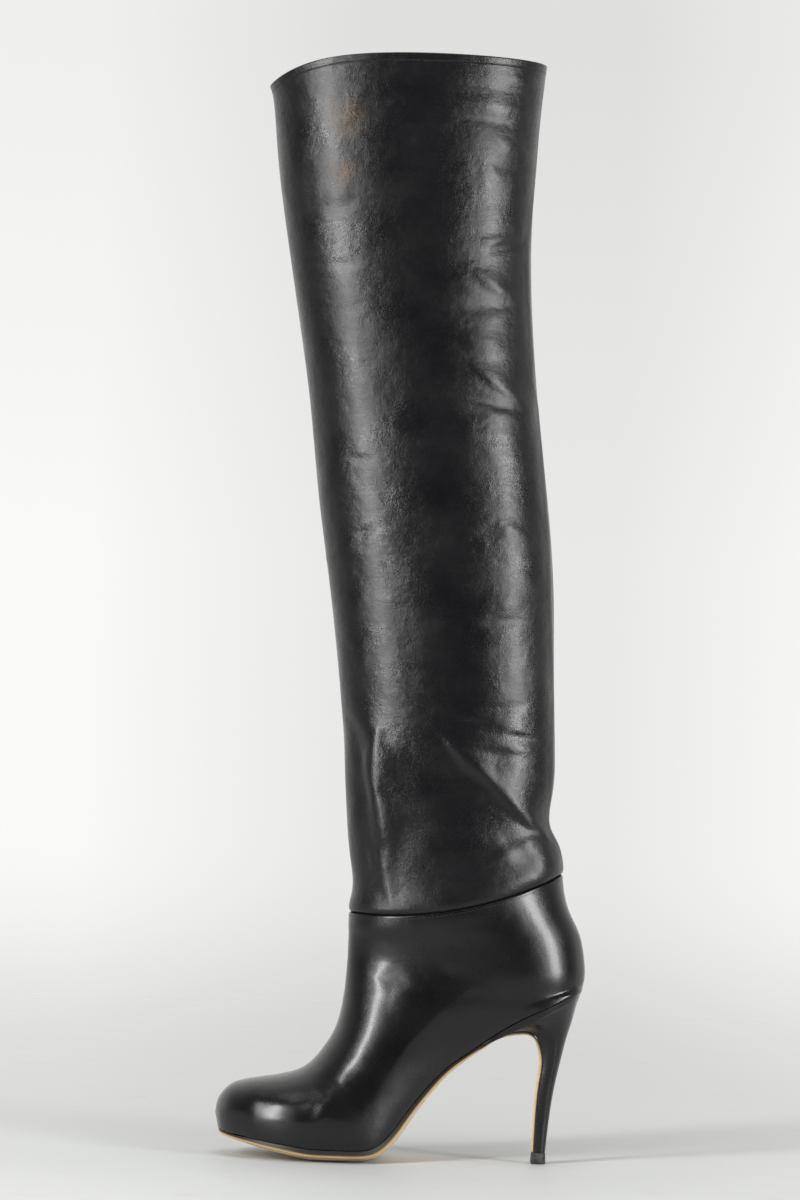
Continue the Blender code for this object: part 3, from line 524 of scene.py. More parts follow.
def grid_normals(grid, labels):
    """Outward direction at each grid point, averaged over the faces around it."""
    labels = labels - labels[0, 0]
    face = np.cross(grid[1:, 1:] - grid[:-1, :-1], grid[:-1, 1:] - grid[1:, :-1])
    total = np.zeros((grid.shape[0] * grid.shape[1], 3))
    for corner in (labels[:-1, :-1], labels[1:, :-1], labels[:-1, 1:], labels[1:, 1:]):
        np.add.at(total, corner.ravel(), face.reshape(-1, 3))
    size = np.linalg.norm(total, axis=1, keepdims=True)
    size[size == 0] = 1
    return (total / size)[labels]


class Bottom:
    """The bottom of the last: its line from the toe to the seat's end, and the feather outline on it."""

    def __init__(self, grid, places, knots):
        count = row_at(places, knots[SEAT_END]) + 1
        self.places = places[:count]
        self.line = grid[:count, 0][:, (0, 2)]
        self.length = running(np.hypot(*np.diff(self.line, axis=0).T))
        self.outer = grid[:count, 0, 1]
        self.inner = grid[:count, -1, 1]
        step = np.gradient(self.line, self.length, axis=0)
        step /= np.linalg.norm(step, axis=1, keepdims=True)
        self.down = np.column_stack((step[:, 1], -step[:, 0]))

    def point(self, length, y, depth):
        """A point on the bottom, moved down across it by depth."""
        x, z = (np.interp(length, self.length, self.line[:, k]) for k in (0, 1))
        down_x, down_z = (np.interp(length, self.length, self.down[:, k]) for k in (0, 1))
        return np.stack((x + down_x * depth, y + 0 * x, z + down_z * depth), axis=-1)

    def inset(self, distance):
        """Lengths and sides of the outline moved inward: outer length, y, inner length, y."""
        outer = np.column_stack((self.length, self.outer))
        inner = np.column_stack((self.length, self.inner))
        loop = np.vstack((outer, inner[-2:0:-1]))
        along_loop = np.roll(loop, -1, axis=0) - np.roll(loop, 1, axis=0)
        along_loop /= np.linalg.norm(along_loop, axis=1, keepdims=True)
        moved = loop + distance * np.column_stack((-along_loop[:, 1], along_loop[:, 0]))
        count = len(self.length)
        inner_moved = np.vstack((moved[:1], moved[count:][::-1], moved[count - 1:count]))
        return moved[:count, 0], moved[:count, 1], inner_moved[:, 0], inner_moved[:, 1]

    def strip(self, distance, edges, crowns, start, way):
        """Rings of a strip that starts at a depth and goes down, or up with way -1, from the toe on."""
        rings = []
        outline = self.inset(distance)
        for length_out, side_out, length_in, side_in, edge, crown in zip(*outline, edges, crowns):
            across, depth = strip_section((side_in - side_out) / 2, edge, crown, SOLE_CORNER)
            mix = (1 - across) / 2
            length = length_out + (length_in - length_out) * mix
            side = side_out + (side_in - side_out) * mix
            rings.append(self.point(length, side, start + way * depth))
        return rings


def by_section(table, column, places, knots):
    """A column of a table with a row per named section, read at the places."""
    at = [knots[FOOT_NAMES.index(row[0])] for row in table]
    return np.interp(places, at, [row[column] for row in table])


def fold_field(grid, table):
    """Height over the surface of the folds in a table, each on its own side of the foot."""
    x, y, z = grid[..., 0], grid[..., 1], grid[..., 2]
    outer_share = 0.5 - 0.5 * np.tanh(y / SIDE_BLEND)
    field = np.zeros(grid.shape[:2])
    for side, folds in table.items():
        facing = outer_share if side == "outer" else 1 - outer_share
        for *fold, skew in folds:
            start_x, start_z, end_x, end_z, width, height = np.array(fold) * MM
            run_x, run_z = end_x - start_x, end_z - start_z
            length = np.hypot(run_x, run_z)
            forward = ((x - start_x) * run_x + (z - start_z) * run_z) / length
            across = ((x - start_x) * -run_z + (z - start_z) * run_x) / length
            beyond = np.maximum(np.maximum(-forward, forward - length), 0)
            narrow = np.clip(1 - FOLD_TAPER * (2 * forward / length - 1) ** 2, FOLD_NARROWEST, 1)
            flank = width * narrow * (1 + skew * np.tanh(across / width))
            shape = np.exp(-(across / flank) ** 2 - (beyond / width) ** 2) * narrow
            field += height * shape * facing
    return field


def linked(name, data):
    """A new object in the scene, with its data."""
    thing = bpy.data.objects.new(name, data)
    bpy.context.scene.collection.objects.link(thing)
    return thing


def new_object(name, points, faces, materials, slots=None, attributes=(), sharp=None):
    """A smooth mesh object that replaces no node yet, its faces pointing out."""
    mesh = bpy.data.meshes.new(name)
    mesh.from_pydata(np.asarray(points).tolist(), [], faces)
    for material in materials:
        mesh.materials.append(material)
    if slots is not None:
        mesh.polygons.foreach_set("material_index", slots)
    for label, values in attributes:
        layer = mesh.attributes.new(label, "FLOAT", "POINT")
        layer.data.foreach_set("value", np.asarray(values, np.float32).ravel())
    work = bmesh.new()
    work.from_mesh(mesh)
    bmesh.ops.remove_doubles(work, verts=work.verts, dist=SAME_PLACE)
    bmesh.ops.dissolve_degenerate(work, edges=work.edges, dist=SAME_PLACE)
    bmesh.ops.recalc_face_normals(work, faces=work.faces)
    work.to_mesh(mesh)
    work.free()
    mesh.shade_smooth()
    if sharp:
        mesh.set_sharp_from_angle(angle=np.radians(sharp))
    return linked(name, mesh)


def shell(outer, inner, labels, inside):
    """Closed wall between two grids, with an inside slot per row: points, faces, slots, used points."""
    rows, columns = labels.shape
    labels = labels - labels[0, 0]
    corners = (labels[:-1, :-1], labels[:-1, 1:], labels[1:, 1:], labels[1:, :-1])
    quads = np.stack(corners, axis=-1).reshape(-1, 4)
    faces = [tuple(face) for face in quads.tolist()]
    edges = set()
    for face in faces:
        edges.update(zip(face, face[1:] + face[:1]))
    count = rows * columns
    rim = [(b, a, a + count, b + count) for a, b in edges if (b, a) not in edges]
    back = [tuple(k + count for k in reversed(face)) for face in faces]
    slots = [0] * len(faces) + np.repeat(inside[:rows - 1], columns - 1).tolist() + [0] * len(rim)
    points = np.vstack((outer.reshape(-1, 3), inner.reshape(-1, 3)))
    faces = faces + back + rim
    used = np.unique(np.array(faces))
    number = np.zeros(len(points), int)
    number[used] = np.arange(len(used))
    return points[used], number[np.array(faces)].tolist(), slots, used


def ring_loft(rings):
    """Points and faces through rings of equal length, each a closed loop, and across both ends."""
    count = len(rings[0])
    faces = []
    for i in range(len(rings) - 1):
        for j in range(count):
            k = (j + 1) % count
            faces.append((i * count + j, i * count + k, (i + 1) * count + k, (i + 1) * count + j))
    for start in (0, (len(rings) - 1) * count):
        for j in range(count // 2 - 1):
            faces.append((start + j, start + j + 1, start + count - 2 - j, start + count - 1 - j))
    return np.vstack(rings), faces


def edge_distance(grid, row):
    """Length along each column from a row of the grid to its other rows."""
    step = np.linalg.norm(np.diff(grid, axis=0), axis=2)
    length = np.vstack((np.zeros(grid.shape[1]), np.cumsum(step, axis=0)))
    return np.abs(length - length[row])


def round_edge(outer, inner, normals, distance):
    """Bends both faces of a wall together over its last stretch, into a rounded edge."""
    wall = np.linalg.norm(outer - inner, axis=2)
    share = np.clip(1 - distance / (wall / 2), 0, 1)
    bend = (wall / 2) * (1 - np.sqrt(1 - share ** 2))
    return outer - normals * bend[..., None], inner + normals * bend[..., None]


def lofted(name, rings, materials, attributes=()):
    """A closed object through rings, with its sharper edges kept sharp."""
    points, faces = ring_loft(rings)
    return new_object(name, points, faces, materials, attributes=attributes, sharp=SHARP_ANGLE)


def feather_bend(rows):
    """How far the leather turns in along its lower edge, on the rows that have one."""
    length = round_length(rows)
    share = np.clip(1 - nearer_edge(length) / FEATHER_ROUND, 0, 1)
    return FEATHER_ROUND * (1 - np.sqrt(1 - share ** 2)) * np.clip(length[:, -1:] / FEATHER_ROOM - 1, 0, 1)


def make_upper(grid, normals, labels, places, knots, bottom, materials):
    """The foot: smooth leather with soft dents, a folded edge over the leg, and a lining."""
    last = row_at(places, knots[SEAM]) + 1
    outer, out = grid[:last], normals[:last]
    distance = edge_distance(outer, -1)
    field = fold_field(outer, FOOT_FOLDS)
    field += HEM_RISE * (0.5 - 0.5 * np.tanh((distance - HEM_DEPTH) / HEM_BLEND))
    field *= np.clip(places[:last, None] / knots[FOOT_NAMES.index("toe cap")], 0, 1)
    wall = np.interp(places[:last], (knots[LAP - 1], knots[LAP]), (UPPER_WALL, UPPER_EDGE))
    inner = outer - out * wall[:, None, None]
    outer = outer + out * field[..., None]
    length_out, side_out, length_in, side_in = bottom.inset(UPPER_WALL)
    count = len(bottom.length)
    inner[:count, 0] = bottom.point(length_out, side_out, 0.0)
    inner[:count, -1] = bottom.point(length_in, side_in, 0.0)
    outer, inner = round_edge(outer, inner, out, distance)
    outer[:count] -= out[:count] * feather_bend(outer[:count])[..., None]
    points, faces, slots, used = shell(outer, inner, labels[:last], np.ones(last, int))
    hem = np.concatenate([distance.ravel()] * 2)[used]
    thing = new_object("foot_leather", points, faces, materials, slots, (("edge_distance", hem),))
    return thing, outer, distance


def back_seam_distance(grid):
    """Signed length round each row from the back seam's line, on the outer side."""
    length = round_length(grid)
    height, round_back = np.array(BACK_SEAM[::-1]).T * MM
    away = length - np.interp(grid[:, 0, 2], height, round_back)[:, None]
    return np.where(away > length[:, -1:] / 2, away - length[:, -1:], away)


def make_shaft(grid, normals, labels, places, knots, materials):
    """The leg: soft leather with folds, a back seam, a rounded top edge and a pale lining."""
    first = row_at(places, knots[LAP])
    seam = row_at(places, knots[SEAM]) - first
    base, out = grid[first:], normals[first:]
    over_seam = edge_distance(base, seam)
    below_top = edge_distance(base, -1)
    above = np.arange(len(base))[:, None] >= seam
    tuck = np.where(above, np.exp(-(over_seam / PILLOW_START) ** 2), 1.0) * (UPPER_EDGE + GAP + HEM_RISE)
    pillow = np.where(above, over_seam / PILLOW_AT * np.exp(1 - over_seam / PILLOW_AT), 0) * PILLOW_RISE
    seam_away = back_seam_distance(base)
    field = fold_field(base, SHAFT_FOLDS) + pillow - tuck
    fade = 1 - np.exp(-(below_top / RIDGE_FADE) ** 2)
    ridge = SEAM_RIDGE * np.exp(-(seam_away / SEAM_RIDGE_WIDTH) ** 2)
    field += ridge * np.where(above, 1, 0) * fade
    outer = base + out * field[..., None]
    inner = outer - out * SHAFT_WALL
    outer, inner = round_edge(outer, inner, out, below_top)
    inside = np.where(places[first:] > places[-1] - 2 * FACING_DEPTH, 0, 1)
    points, faces, slots, used = shell(outer, inner, labels[first:], inside)
    attributes = (("edge_distance", np.concatenate([below_top.ravel()] * 2)[used]),
                  ("seam_distance", np.concatenate([seam_away.ravel()] * 2)[used]))
    thing = new_object("shaft_leather", points, faces, materials, slots, attributes)
    return thing, outer, below_top


def line_on_grid(grid, distance, drop):
    """Points of the line that lies a drop away from the edge, one on each column."""
    points = []
    for j in range(grid.shape[1]):
        rows = np.argsort(distance[:, j])
        points.append([np.interp(drop, distance[rows, j], grid[rows, j, k]) for k in range(3)])
    return np.array(points)


def stitch_row(name, line, material):
    """A row of thread stitches along a line round the boot, each a small closed bead half sunk in."""
    length = running(np.linalg.norm(np.diff(line, axis=0), axis=1))
    count = int(length[-1] / STITCH_PITCH)
    middles = (np.arange(count) + 0.5) * length[-1] / count
    turn = np.linspace(0, 2 * np.pi, STITCH_SIDES, endpoint=False)
    centre = line.mean(axis=0)
    points, faces = [], []
    for middle in middles:
        here = np.array([np.interp(middle, length, line[:, k]) for k in range(3)])
        ahead = np.array([np.interp(middle + MM, length, line[:, k]) for k in range(3)])
        forward = (ahead - here) / np.linalg.norm(ahead - here)
        outward = here - centre
        outward[2] = 0
        outward -= forward * outward.dot(forward)
        outward /= np.linalg.norm(outward)
        side = np.cross(forward, outward)
        start = len(points)
        for reach, radius in STITCH_PROFILE:
            for angle in turn:
                swell = STITCH_RADIUS * radius * (np.cos(angle) * outward + np.sin(angle) * side)
                points.append(here + forward * reach * STITCH_LENGTH / 2 + swell)
        for i in range(len(STITCH_PROFILE) - 1):
            for j in range(len(turn)):
                a, b = start + i * len(turn) + j, start + i * len(turn) + (j + 1) % len(turn)
                faces.append((a, b, b + len(turn), a + len(turn)))
        faces.append([start + j for j in range(len(turn))][::-1])
        faces.append([start + (len(STITCH_PROFILE) - 1) * len(turn) + j for j in range(len(turn))])
    return new_object(name, points, faces, [material])


def flap_lines():
    """Face line of the sole's flap, its direction into the heel, and its half widths."""
    face = [(along(row[1]), row[2] * SEAT_HEIGHT) for row in HEEL_ROWS]
    face.append((along(STEM_END[1]), TOP_PIECE + GAP))
    face = np.array(face)
    step = np.gradient(face, axis=0)
    step /= np.linalg.norm(step, axis=1, keepdims=True)
    inward = np.column_stack((-step[:, 1], step[:, 0]))
    inward[-1] = (1.0, 0.0)
    side = np.array([row[5] for row in HEEL_ROWS] + [STEM_END[3]]) * HEEL_WIDTH
    return face, inward, side


def fine_rings(rings, step):
    """Many rings on smooth curves through the given ones, about a step apart."""
    rings = np.array(rings)
    knots = running(np.linalg.norm(np.diff(rings, axis=0), axis=2).mean(axis=1))
    places = np.linspace(0, knots[-1], int(knots[-1] / step) + 2)
    return list(track(rings, knots, places).reshape((-1,) + rings.shape[1:]))


def strip_section(half, edge, crown, corner):
    """Section of a sole strip: positions across from 1 to -1 and depths under its flat top."""
    turn = np.linspace(0, np.pi / 2, CORNER_STEPS)
    reach = np.concatenate(([1.0], 1 - corner * (1 - np.cos(turn)) / max(half, MM)))
    depth = np.concatenate(([0.0], edge - corner + corner * np.sin(turn)))
    share = np.linspace(reach[-1], 0, FACE_STEPS)[1:]
    rise = 1 - (np.clip(share - CROWN_FLAT, 0, None) / (1 - CROWN_FLAT)) ** 2
    reach = np.concatenate((reach, share))
    depth = np.concatenate((depth, edge + crown * rise))
    return np.concatenate((reach, -reach[-2::-1])), np.concatenate((depth, depth[-2::-1]))


def make_sole(bottom, knots, materials):
    """Outsole: one strip from the toe along the shank and down the front of the heel."""
    last = row_at(bottom.places, knots[FOOT_NAMES.index("heel lip")]) + 1
    edge = by_section(SOLE_ROWS, 1, bottom.places[:last], knots) * SOLE_EDGE
    crown = by_section(SOLE_ROWS, 2, bottom.places[:last], knots) * SOLE_CROWN
    fore = bottom.strip(SOLE_INSET, edge, crown, GAP, 1)
    flap = []
    for point, into, side in zip(*flap_lines()):
        across, depth = strip_section(side, FLAP, 0.0, FLAP_CORNER)
        into = np.array((into[0], 0.0, into[1]))
        ring = np.array((point[0], 0.0, point[1])) + np.outer(FLAP - depth, into)
        ring[:, 1] = -side * across
        flap.append(ring)
    flap[-1][:, 2] = TOP_PIECE + GAP
    step = (fore[-1] + flap[0]) / 2
    ends = np.array((0, -1))
    step[ends] = bottom.point(np.full(2, lip_length(bottom) - LIP_STEP), step[ends, 1], GAP)
    rings = np.array(fore + [step] + fine_rings(flap, FLAP_STEP))
    share = np.exp(-((np.arange(len(rings)) - len(fore)) / LIP_REACH) ** 2)
    rings[:, 1:-1] += (evened(rings, LIP_PASSES) - rings)[:, 1:-1] * share[:, None, None]
    for ring in rings:
        ring[ring[:, 2] < WORN_FLAT, 2] = 0.0
    corner = np.linspace(CORNER_START, CORNER_END, CORNER_STEPS)
    side_share = np.concatenate(([0.0], corner, np.full(FACE_STEPS - 1, ON_FACE)))
    side_share = np.tile(np.concatenate((side_share, side_share[-2::-1])), len(rings))
    return lofted("sole_leather", rings, materials, (("side_share", side_share),))


def lip_length(bottom):
    """Length along the bottom at which the heel's lip starts."""
    line, inward, side = flap_lines()
    return np.interp(line[0, 0] + inward[0, 0] * (FLAP + GAP), bottom.line[:, 0], bottom.length)


def heel_side(share, front, wide):
    """Half width of a heel section at a share of its depth, from its front to its back."""
    rising = front + (wide - front) * np.sin(np.pi / 2 * np.clip(share / HEEL_WIDEST, 0, 1))
    behind = np.clip((share - HEEL_WIDEST) / (1 - HEEL_WIDEST), 0, 1)
    falling = wide * np.sqrt(1 - behind ** HEEL_BACK_ROUND)
    return np.where(share < HEEL_WIDEST, rising, falling)


def heel_ring(front, back, share, front_side, wide, seat=0.0, outline=(0.0, 0.0)):
    """Points of a heel section: outer side from front to back, then the inner side back again."""
    half = heel_side(share, front_side, wide)
    kept = seat * np.clip(share / SEAT_BLEND, 0, 1)
    x = front[0] + (back[0] - front[0]) * share
    z = front[1] + (back[1] - front[1]) * share
    outer = np.column_stack((x, -half - kept * (outline[0] * wide - half), z))
    inner = np.column_stack((x, half + kept * (outline[1] * wide - half), z))
    return np.vstack((outer, inner[::-1]))


def make_heel(bottom, materials):
    """Covered heel: seat under the upper, hollow breast and a thin stem."""
    line, inward, side = flap_lines()
    front = line + inward * (FLAP + GAP)
    start = lip_length(bottom)
    length = start + (bottom.length[-1] - start) * np.sin(np.linspace(0, np.pi / 2, HEEL_POINTS))
    share = (length - length[0]) / (length[-1] - length[0])
    outer = bottom.point(length, np.interp(length, bottom.length, bottom.outer), GAP)
    inner = bottom.point(length, np.interp(length, bottom.length, bottom.inner), GAP)
    outline = (outer[:, 1] / outer[:, 1].min(), inner[:, 1] / inner[:, 1].max())
    rings = [np.vstack((outer, inner[::-1]))]
    for row, face, front_side in zip(HEEL_ROWS, front, side):
        back = (along(row[3]), row[4] * SEAT_HEIGHT)
        rings.append(heel_ring(face, back, share, front_side, row[6] * HEEL_WIDTH, row[7], outline))
    back = (along(STEM_END[2]), TOP_PIECE + GAP)
    rings.append(heel_ring((front[-1, 0], TOP_PIECE + GAP), back, share, side[-1], STEM_END[4] * HEEL_WIDTH))
    return lofted("heel_cover", fine_rings(rings, HEEL_STEP), materials)


def make_top_piece(materials):
    """Rubber tip with rounded edges under the stem and the flap."""
    share = np.sin(np.linspace(0, np.pi / 2, HEEL_POINTS))
    rings = []
    for height, spread in TOP_PIECE_RINGS:
        spread *= TOP_PIECE_SPREAD
        z = height * TOP_PIECE
        front = (along(STEM_END[1]) - spread, z)
        back = (along(STEM_END[2]) + spread, z)
        rings.append(heel_ring(front, back, share, STEM_END[3] * HEEL_WIDTH + spread,
                               STEM_END[4] * HEEL_WIDTH + spread))
    return lofted("heel_tip", rings, materials)


def make_insole(bottom, knots, materials):
    """Padded insole: thick under the toes and the ball, a board along the arch and the seat."""
    thick = INSOLE_BOARD + by_section(INSOLE_ROWS, 1, bottom.places, knots) * (PLATFORM - INSOLE_BOARD)
    rings = bottom.strip(UPPER_WALL + INSOLE_CLEARANCE, thick, np.zeros(len(thick)), 0.0, -1)
    return lofted("sock", rings, materials)


# The two colours between which each material varies, and those of its marks
CALF_BLACKS = ((0.0030, 0.0030, 0.0034), (0.0050, 0.0050, 0.0055))
NAPPA_BLACKS = ((0.0036, 0.0036, 0.0042), (0.0065, 0.0065, 0.0074))
SEAM_BLACK = (0.003, 0.003, 0.003)
OCHRE = (0.11, 0.055, 0.008)
EDGE_TANS = ((0.40, 0.25, 0.10), (0.52, 0.34, 0.15))
FACE_TANS = ((0.50, 0.37, 0.21), (0.66, 0.52, 0.33))
# Darker browns of the sole towards the floor, in streaks
LOW_BROWN = (0.085, 0.055, 0.035)
LOW_WARM_BROWN = (0.12, 0.07, 0.035)
# Painted shade of the gap under the upper, partly the upper's black margin, along the sole's top edge
GAP_SHADE_AND_MARGIN_BLACK = (0.012, 0.010, 0.009)
RUBBER_GREYS = ((0.012, 0.012, 0.012), (0.05, 0.047, 0.043))
THREAD_BLACKS = ((0.008, 0.008, 0.008), (0.02, 0.02, 0.02))
FLOOR_GREYS = ((0.52, 0.53, 0.52), (0.57, 0.58, 0.57))
DUST_GREY = (0.42, 0.41, 0.40)
# Values of a noise between which a roughness goes from its least to its most
NOISE_SPAN = (0.3, 0.7)
# Kid leathers: name, two colours, scale of the clouds and of the grain, swells in mm, roughness
LINING = ("lining_kid", ((0.50, 0.37, 0.24), (0.62, 0.48, 0.33)), 45, 1100, 0.3, (0.5, 0.65))
SOCK = ("sock_kid", ((0.42, 0.29, 0.17), (0.52, 0.38, 0.24)), 60, 1300, 0.25, (0.45, 0.6))


class Nodes:
    """A node tree with a short way to add and join nodes."""

    def __init__(self, tree):
        self.tree = tree

    def add(self, kind, inputs=None, **settings):
        """A node with its settings, its inputs set to values or joined to other nodes' outputs."""
        node = self.tree.nodes.new(kind)
        for label, value in settings.items():
            setattr(node, label, value)
        for label, value in (inputs or {}).items():
            self.give(node.inputs[label], value)
        return node

    def give(self, socket, value):
        """Sets a socket, or joins it to an output."""
        if isinstance(value, bpy.types.NodeSocket):
            self.tree.links.new(value, socket)
        else:
            socket.default_value = value

    def math(self, operation, first, second=0.0):
        """Result of an arithmetic node."""
        return self.add("ShaderNodeMath", {0: first, 1: second}, operation=operation).outputs[0]

    def range(self, value, start, end=(0.0, 1.0)):
        """A value carried from one range to another, held at its ends."""
        inputs = {"Value": value, "From Min": start[0], "From Max": start[1]}
        inputs.update({"To Min": end[0], "To Max": end[1]})
        return self.add("ShaderNodeMapRange", inputs).outputs["Result"]

    def axis(self, vector, name):
        """One part of a vector: X, Y or Z."""
        return self.add("ShaderNodeSeparateXYZ", {"Vector": vector}).outputs[name]


class Shader(Nodes):
    """A material's node tree, with the object's own coordinates as its place."""

    def __init__(self, name):
        self.material = bpy.data.materials.new(name)
        self.material.use_nodes = True
        super().__init__(self.material.node_tree)
        self.surface = self.tree.nodes["Principled BSDF"]
        self.output = self.tree.nodes["Material Output"]
        self.place = self.add("ShaderNodeTexCoord").outputs["Object"]

    def noise(self, scale, detail=3.0, roughness=0.5, where=None):
        """Values of a noise texture on the object's own coordinates."""
        inputs = {"Vector": where or self.place, "Scale": scale, "Detail": detail, "Roughness": roughness}
        return self.add("ShaderNodeTexNoise", inputs).outputs["Fac"]

    def cells(self, scale):
        """Distance to the edges of leather cells."""
        inputs = {"Vector": self.place, "Scale": scale}
        return self.add("ShaderNodeTexVoronoi", inputs, feature="DISTANCE_TO_EDGE").outputs["Distance"]

    def mix(self, share, first, second):
        """A colour between two colours."""
        inputs = {"Factor": share, "A": colour(first), "B": colour(second)}
        return self.add("ShaderNodeMix", inputs, data_type="RGBA").outputs["Result"]

    def stretched(self, factors):
        """The object's coordinates scaled along each axis."""
        inputs = {0: self.place, 1: factors}
        return self.add("ShaderNodeVectorMath", inputs, operation="MULTIPLY").outputs["Vector"]

    def attribute(self, name):
        """A number stored on the mesh's points."""
        return self.add("ShaderNodeAttribute", attribute_name=name).outputs["Fac"]

    def spot(self, centre, radius):
        """1 at a place on the object, falling to 0 at a radius from it."""
        inputs = {0: self.place, 1: centre}
        away = self.add("ShaderNodeVectorMath", inputs, operation="DISTANCE").outputs["Value"]
        return self.range(away, (radius, 0.0))

    def bumps(self, *layers):
        """A normal from several heights, each with its depth in mm."""
        inputs = {"Strength": 1.0}
        for height, depth in layers:
            inputs.update({"Height": height, "Distance": depth * MM})
            inputs["Normal"] = self.add("ShaderNodeBump", inputs).outputs["Normal"]
        self.give(self.surface.inputs["Normal"], inputs["Normal"])

    def finish(self, base, roughness, coat=0.0, coat_roughness=0.2, specular=0.5):
        """Joins the colour and the gloss to the surface and returns the material."""
        inputs = {"Base Color": colour(base), "Roughness": roughness, "Coat Weight": coat,
                  "Coat Roughness": coat_roughness, "Specular IOR Level": specular}
        for label, value in inputs.items():
            self.give(self.surface.inputs[label], value)
        return self.material


def colour(value):
    """A colour with its alpha, or an output left as it is."""
    return (*value, 1.0) if isinstance(value, tuple) else value


def smooth_leather():
    """Glossy black calf of the foot and the heel, with a fine grain."""
    shader = Shader("smooth_calf")
    grain = shader.noise(1400, roughness=0.6)
    clouds = shader.noise(38, detail=2.0)
    base = shader.mix(clouds, *CALF_BLACKS)
    gloss = shader.range(clouds, NOISE_SPAN, (0.20, 0.28))
    roughness = shader.math("ADD", gloss, shader.range(grain, (0.3, 0.8), (0.0, 0.06)))
    shader.bumps((clouds, 0.55), (shader.noise(150), 0.08), (grain, 0.09))
    return shader.finish(base, roughness, coat=0.28, coat_roughness=0.16, specular=0.3)


def soft_leather():
    """Soft black leather of the leg: speckled grain, fine creases, a back seam and two ochre marks."""
    shader = Shader("soft_nappa")
    grain = shader.noise(900, roughness=0.65)
    clouds = shader.noise(30)
    swells = shader.noise(36, roughness=0.55)
    ripples = shader.noise(75, detail=5.0, roughness=0.6, where=shader.stretched((0.7, 0.7, 2.4)))
    patches = shader.noise(22, detail=4.0, roughness=0.6, where=shader.stretched((1.0, 1.0, 1.5)))

    seam = shader.math("ABSOLUTE", shader.attribute("seam_distance"))
    line = shader.range(seam, (SEAM_LINE, 0.0))
    stitches = shader.math("SUBTRACT", shader.attribute("edge_distance"), TOP_STITCH_DROP)
    channel = shader.range(shader.math("ABSOLUTE", stitches), (STITCH_CHANNEL, 0.0))

    ochre = shader.math("MAXIMUM", *[shader.spot(centre, radius) for centre, radius in OCHRE_MARKS])
    speckle = shader.range(shader.noise(900, detail=2.0), (0.42, 0.62))
    base = shader.mix(clouds, *NAPPA_BLACKS)
    base = shader.mix(shader.math("MULTIPLY", ochre, speckle), base, OCHRE)
    base = shader.mix(line, base, SEAM_BLACK)
    gloss = shader.range(patches, (0.36, 0.64), (0.21, 0.35))
    roughness = shader.math("ADD", gloss, shader.range(grain, (0.3, 0.75), (0.0, 0.08)))
    shader.bumps((swells, 1.4), (ripples, 0.30), (grain, 0.17), (shader.cells(900), 0.05),
                 (line, -0.5), (channel, -0.25))
    return shader.finish(base, roughness, coat=0.10, coat_roughness=0.25, specular=0.36)


def kid_leather(name, colours, clouds, grain, swells, roughness):
    """Pale kid with soft clouds and a fine grain."""
    shader = Shader(name)
    clouds = shader.noise(clouds)
    shader.bumps((shader.noise(grain, detail=2.0), 0.06), (clouds, swells))
    return shader.finish(shader.mix(clouds, *colours), shader.range(clouds, NOISE_SPAN, roughness))


def sole_leather():
    """Tan sole leather, browner near the floor, black atop its edge as painted gap shade and dark margin."""
    shader = Shader("sole_leather")
    part = shader.attribute("side_share")
    clouds = shader.noise(70, detail=4.0)
    streaks = shader.noise(160, detail=4.0, roughness=0.6, where=shader.stretched((0.25, 1.0, 1.0)))
    # Darker brown towards the floor, in streaks
    low = shader.range(shader.axis(shader.place, "Z"), (BROWN_HEIGHT, 0.0))
    low_streaks = shader.math("MULTIPLY", low, shader.range(streaks, (0.35, 0.6)))
    face = shader.mix(low_streaks, shader.mix(streaks, *FACE_TANS), LOW_BROWN)
    on_face = shader.range(part, (CORNER_END - 0.1, CORNER_END + 0.1))
    base = shader.mix(on_face, shader.mix(clouds, *EDGE_TANS), face)
    base = shader.mix(shader.math("MULTIPLY", low_streaks, 0.55), base, LOW_WARM_BROWN)
    # Black band atop the edge: painted shade of the gap under the upper, partly the upper's black margin
    base = shader.mix(shader.range(part, (CORNER_START + 0.02, CORNER_START - 0.06)), base, GAP_SHADE_AND_MARGIN_BLACK)
    shader.bumps((streaks, 0.12), (shader.noise(900), 0.05))
    roughness = shader.range(clouds, NOISE_SPAN, (0.38, 0.55))
    return shader.finish(base, roughness, coat=0.1, coat_roughness=0.3)


def tip_rubber():
    """Dark rubber of the top piece, with pale scuffs."""
    shader = Shader("tip_rubber")
    clouds = shader.noise(400, detail=4.0)
    shader.bumps((clouds, 0.12))
    return shader.finish(shader.mix(shader.range(clouds, (0.45, 0.7)), *RUBBER_GREYS), 0.62)


def black_thread():
    """Waxed black thread."""
    shader = Shader("black_thread")
    shader.bumps((shader.noise(6000, detail=1.0), 0.05))
    return shader.finish(shader.mix(shader.noise(500), *THREAD_BLACKS), 0.5)


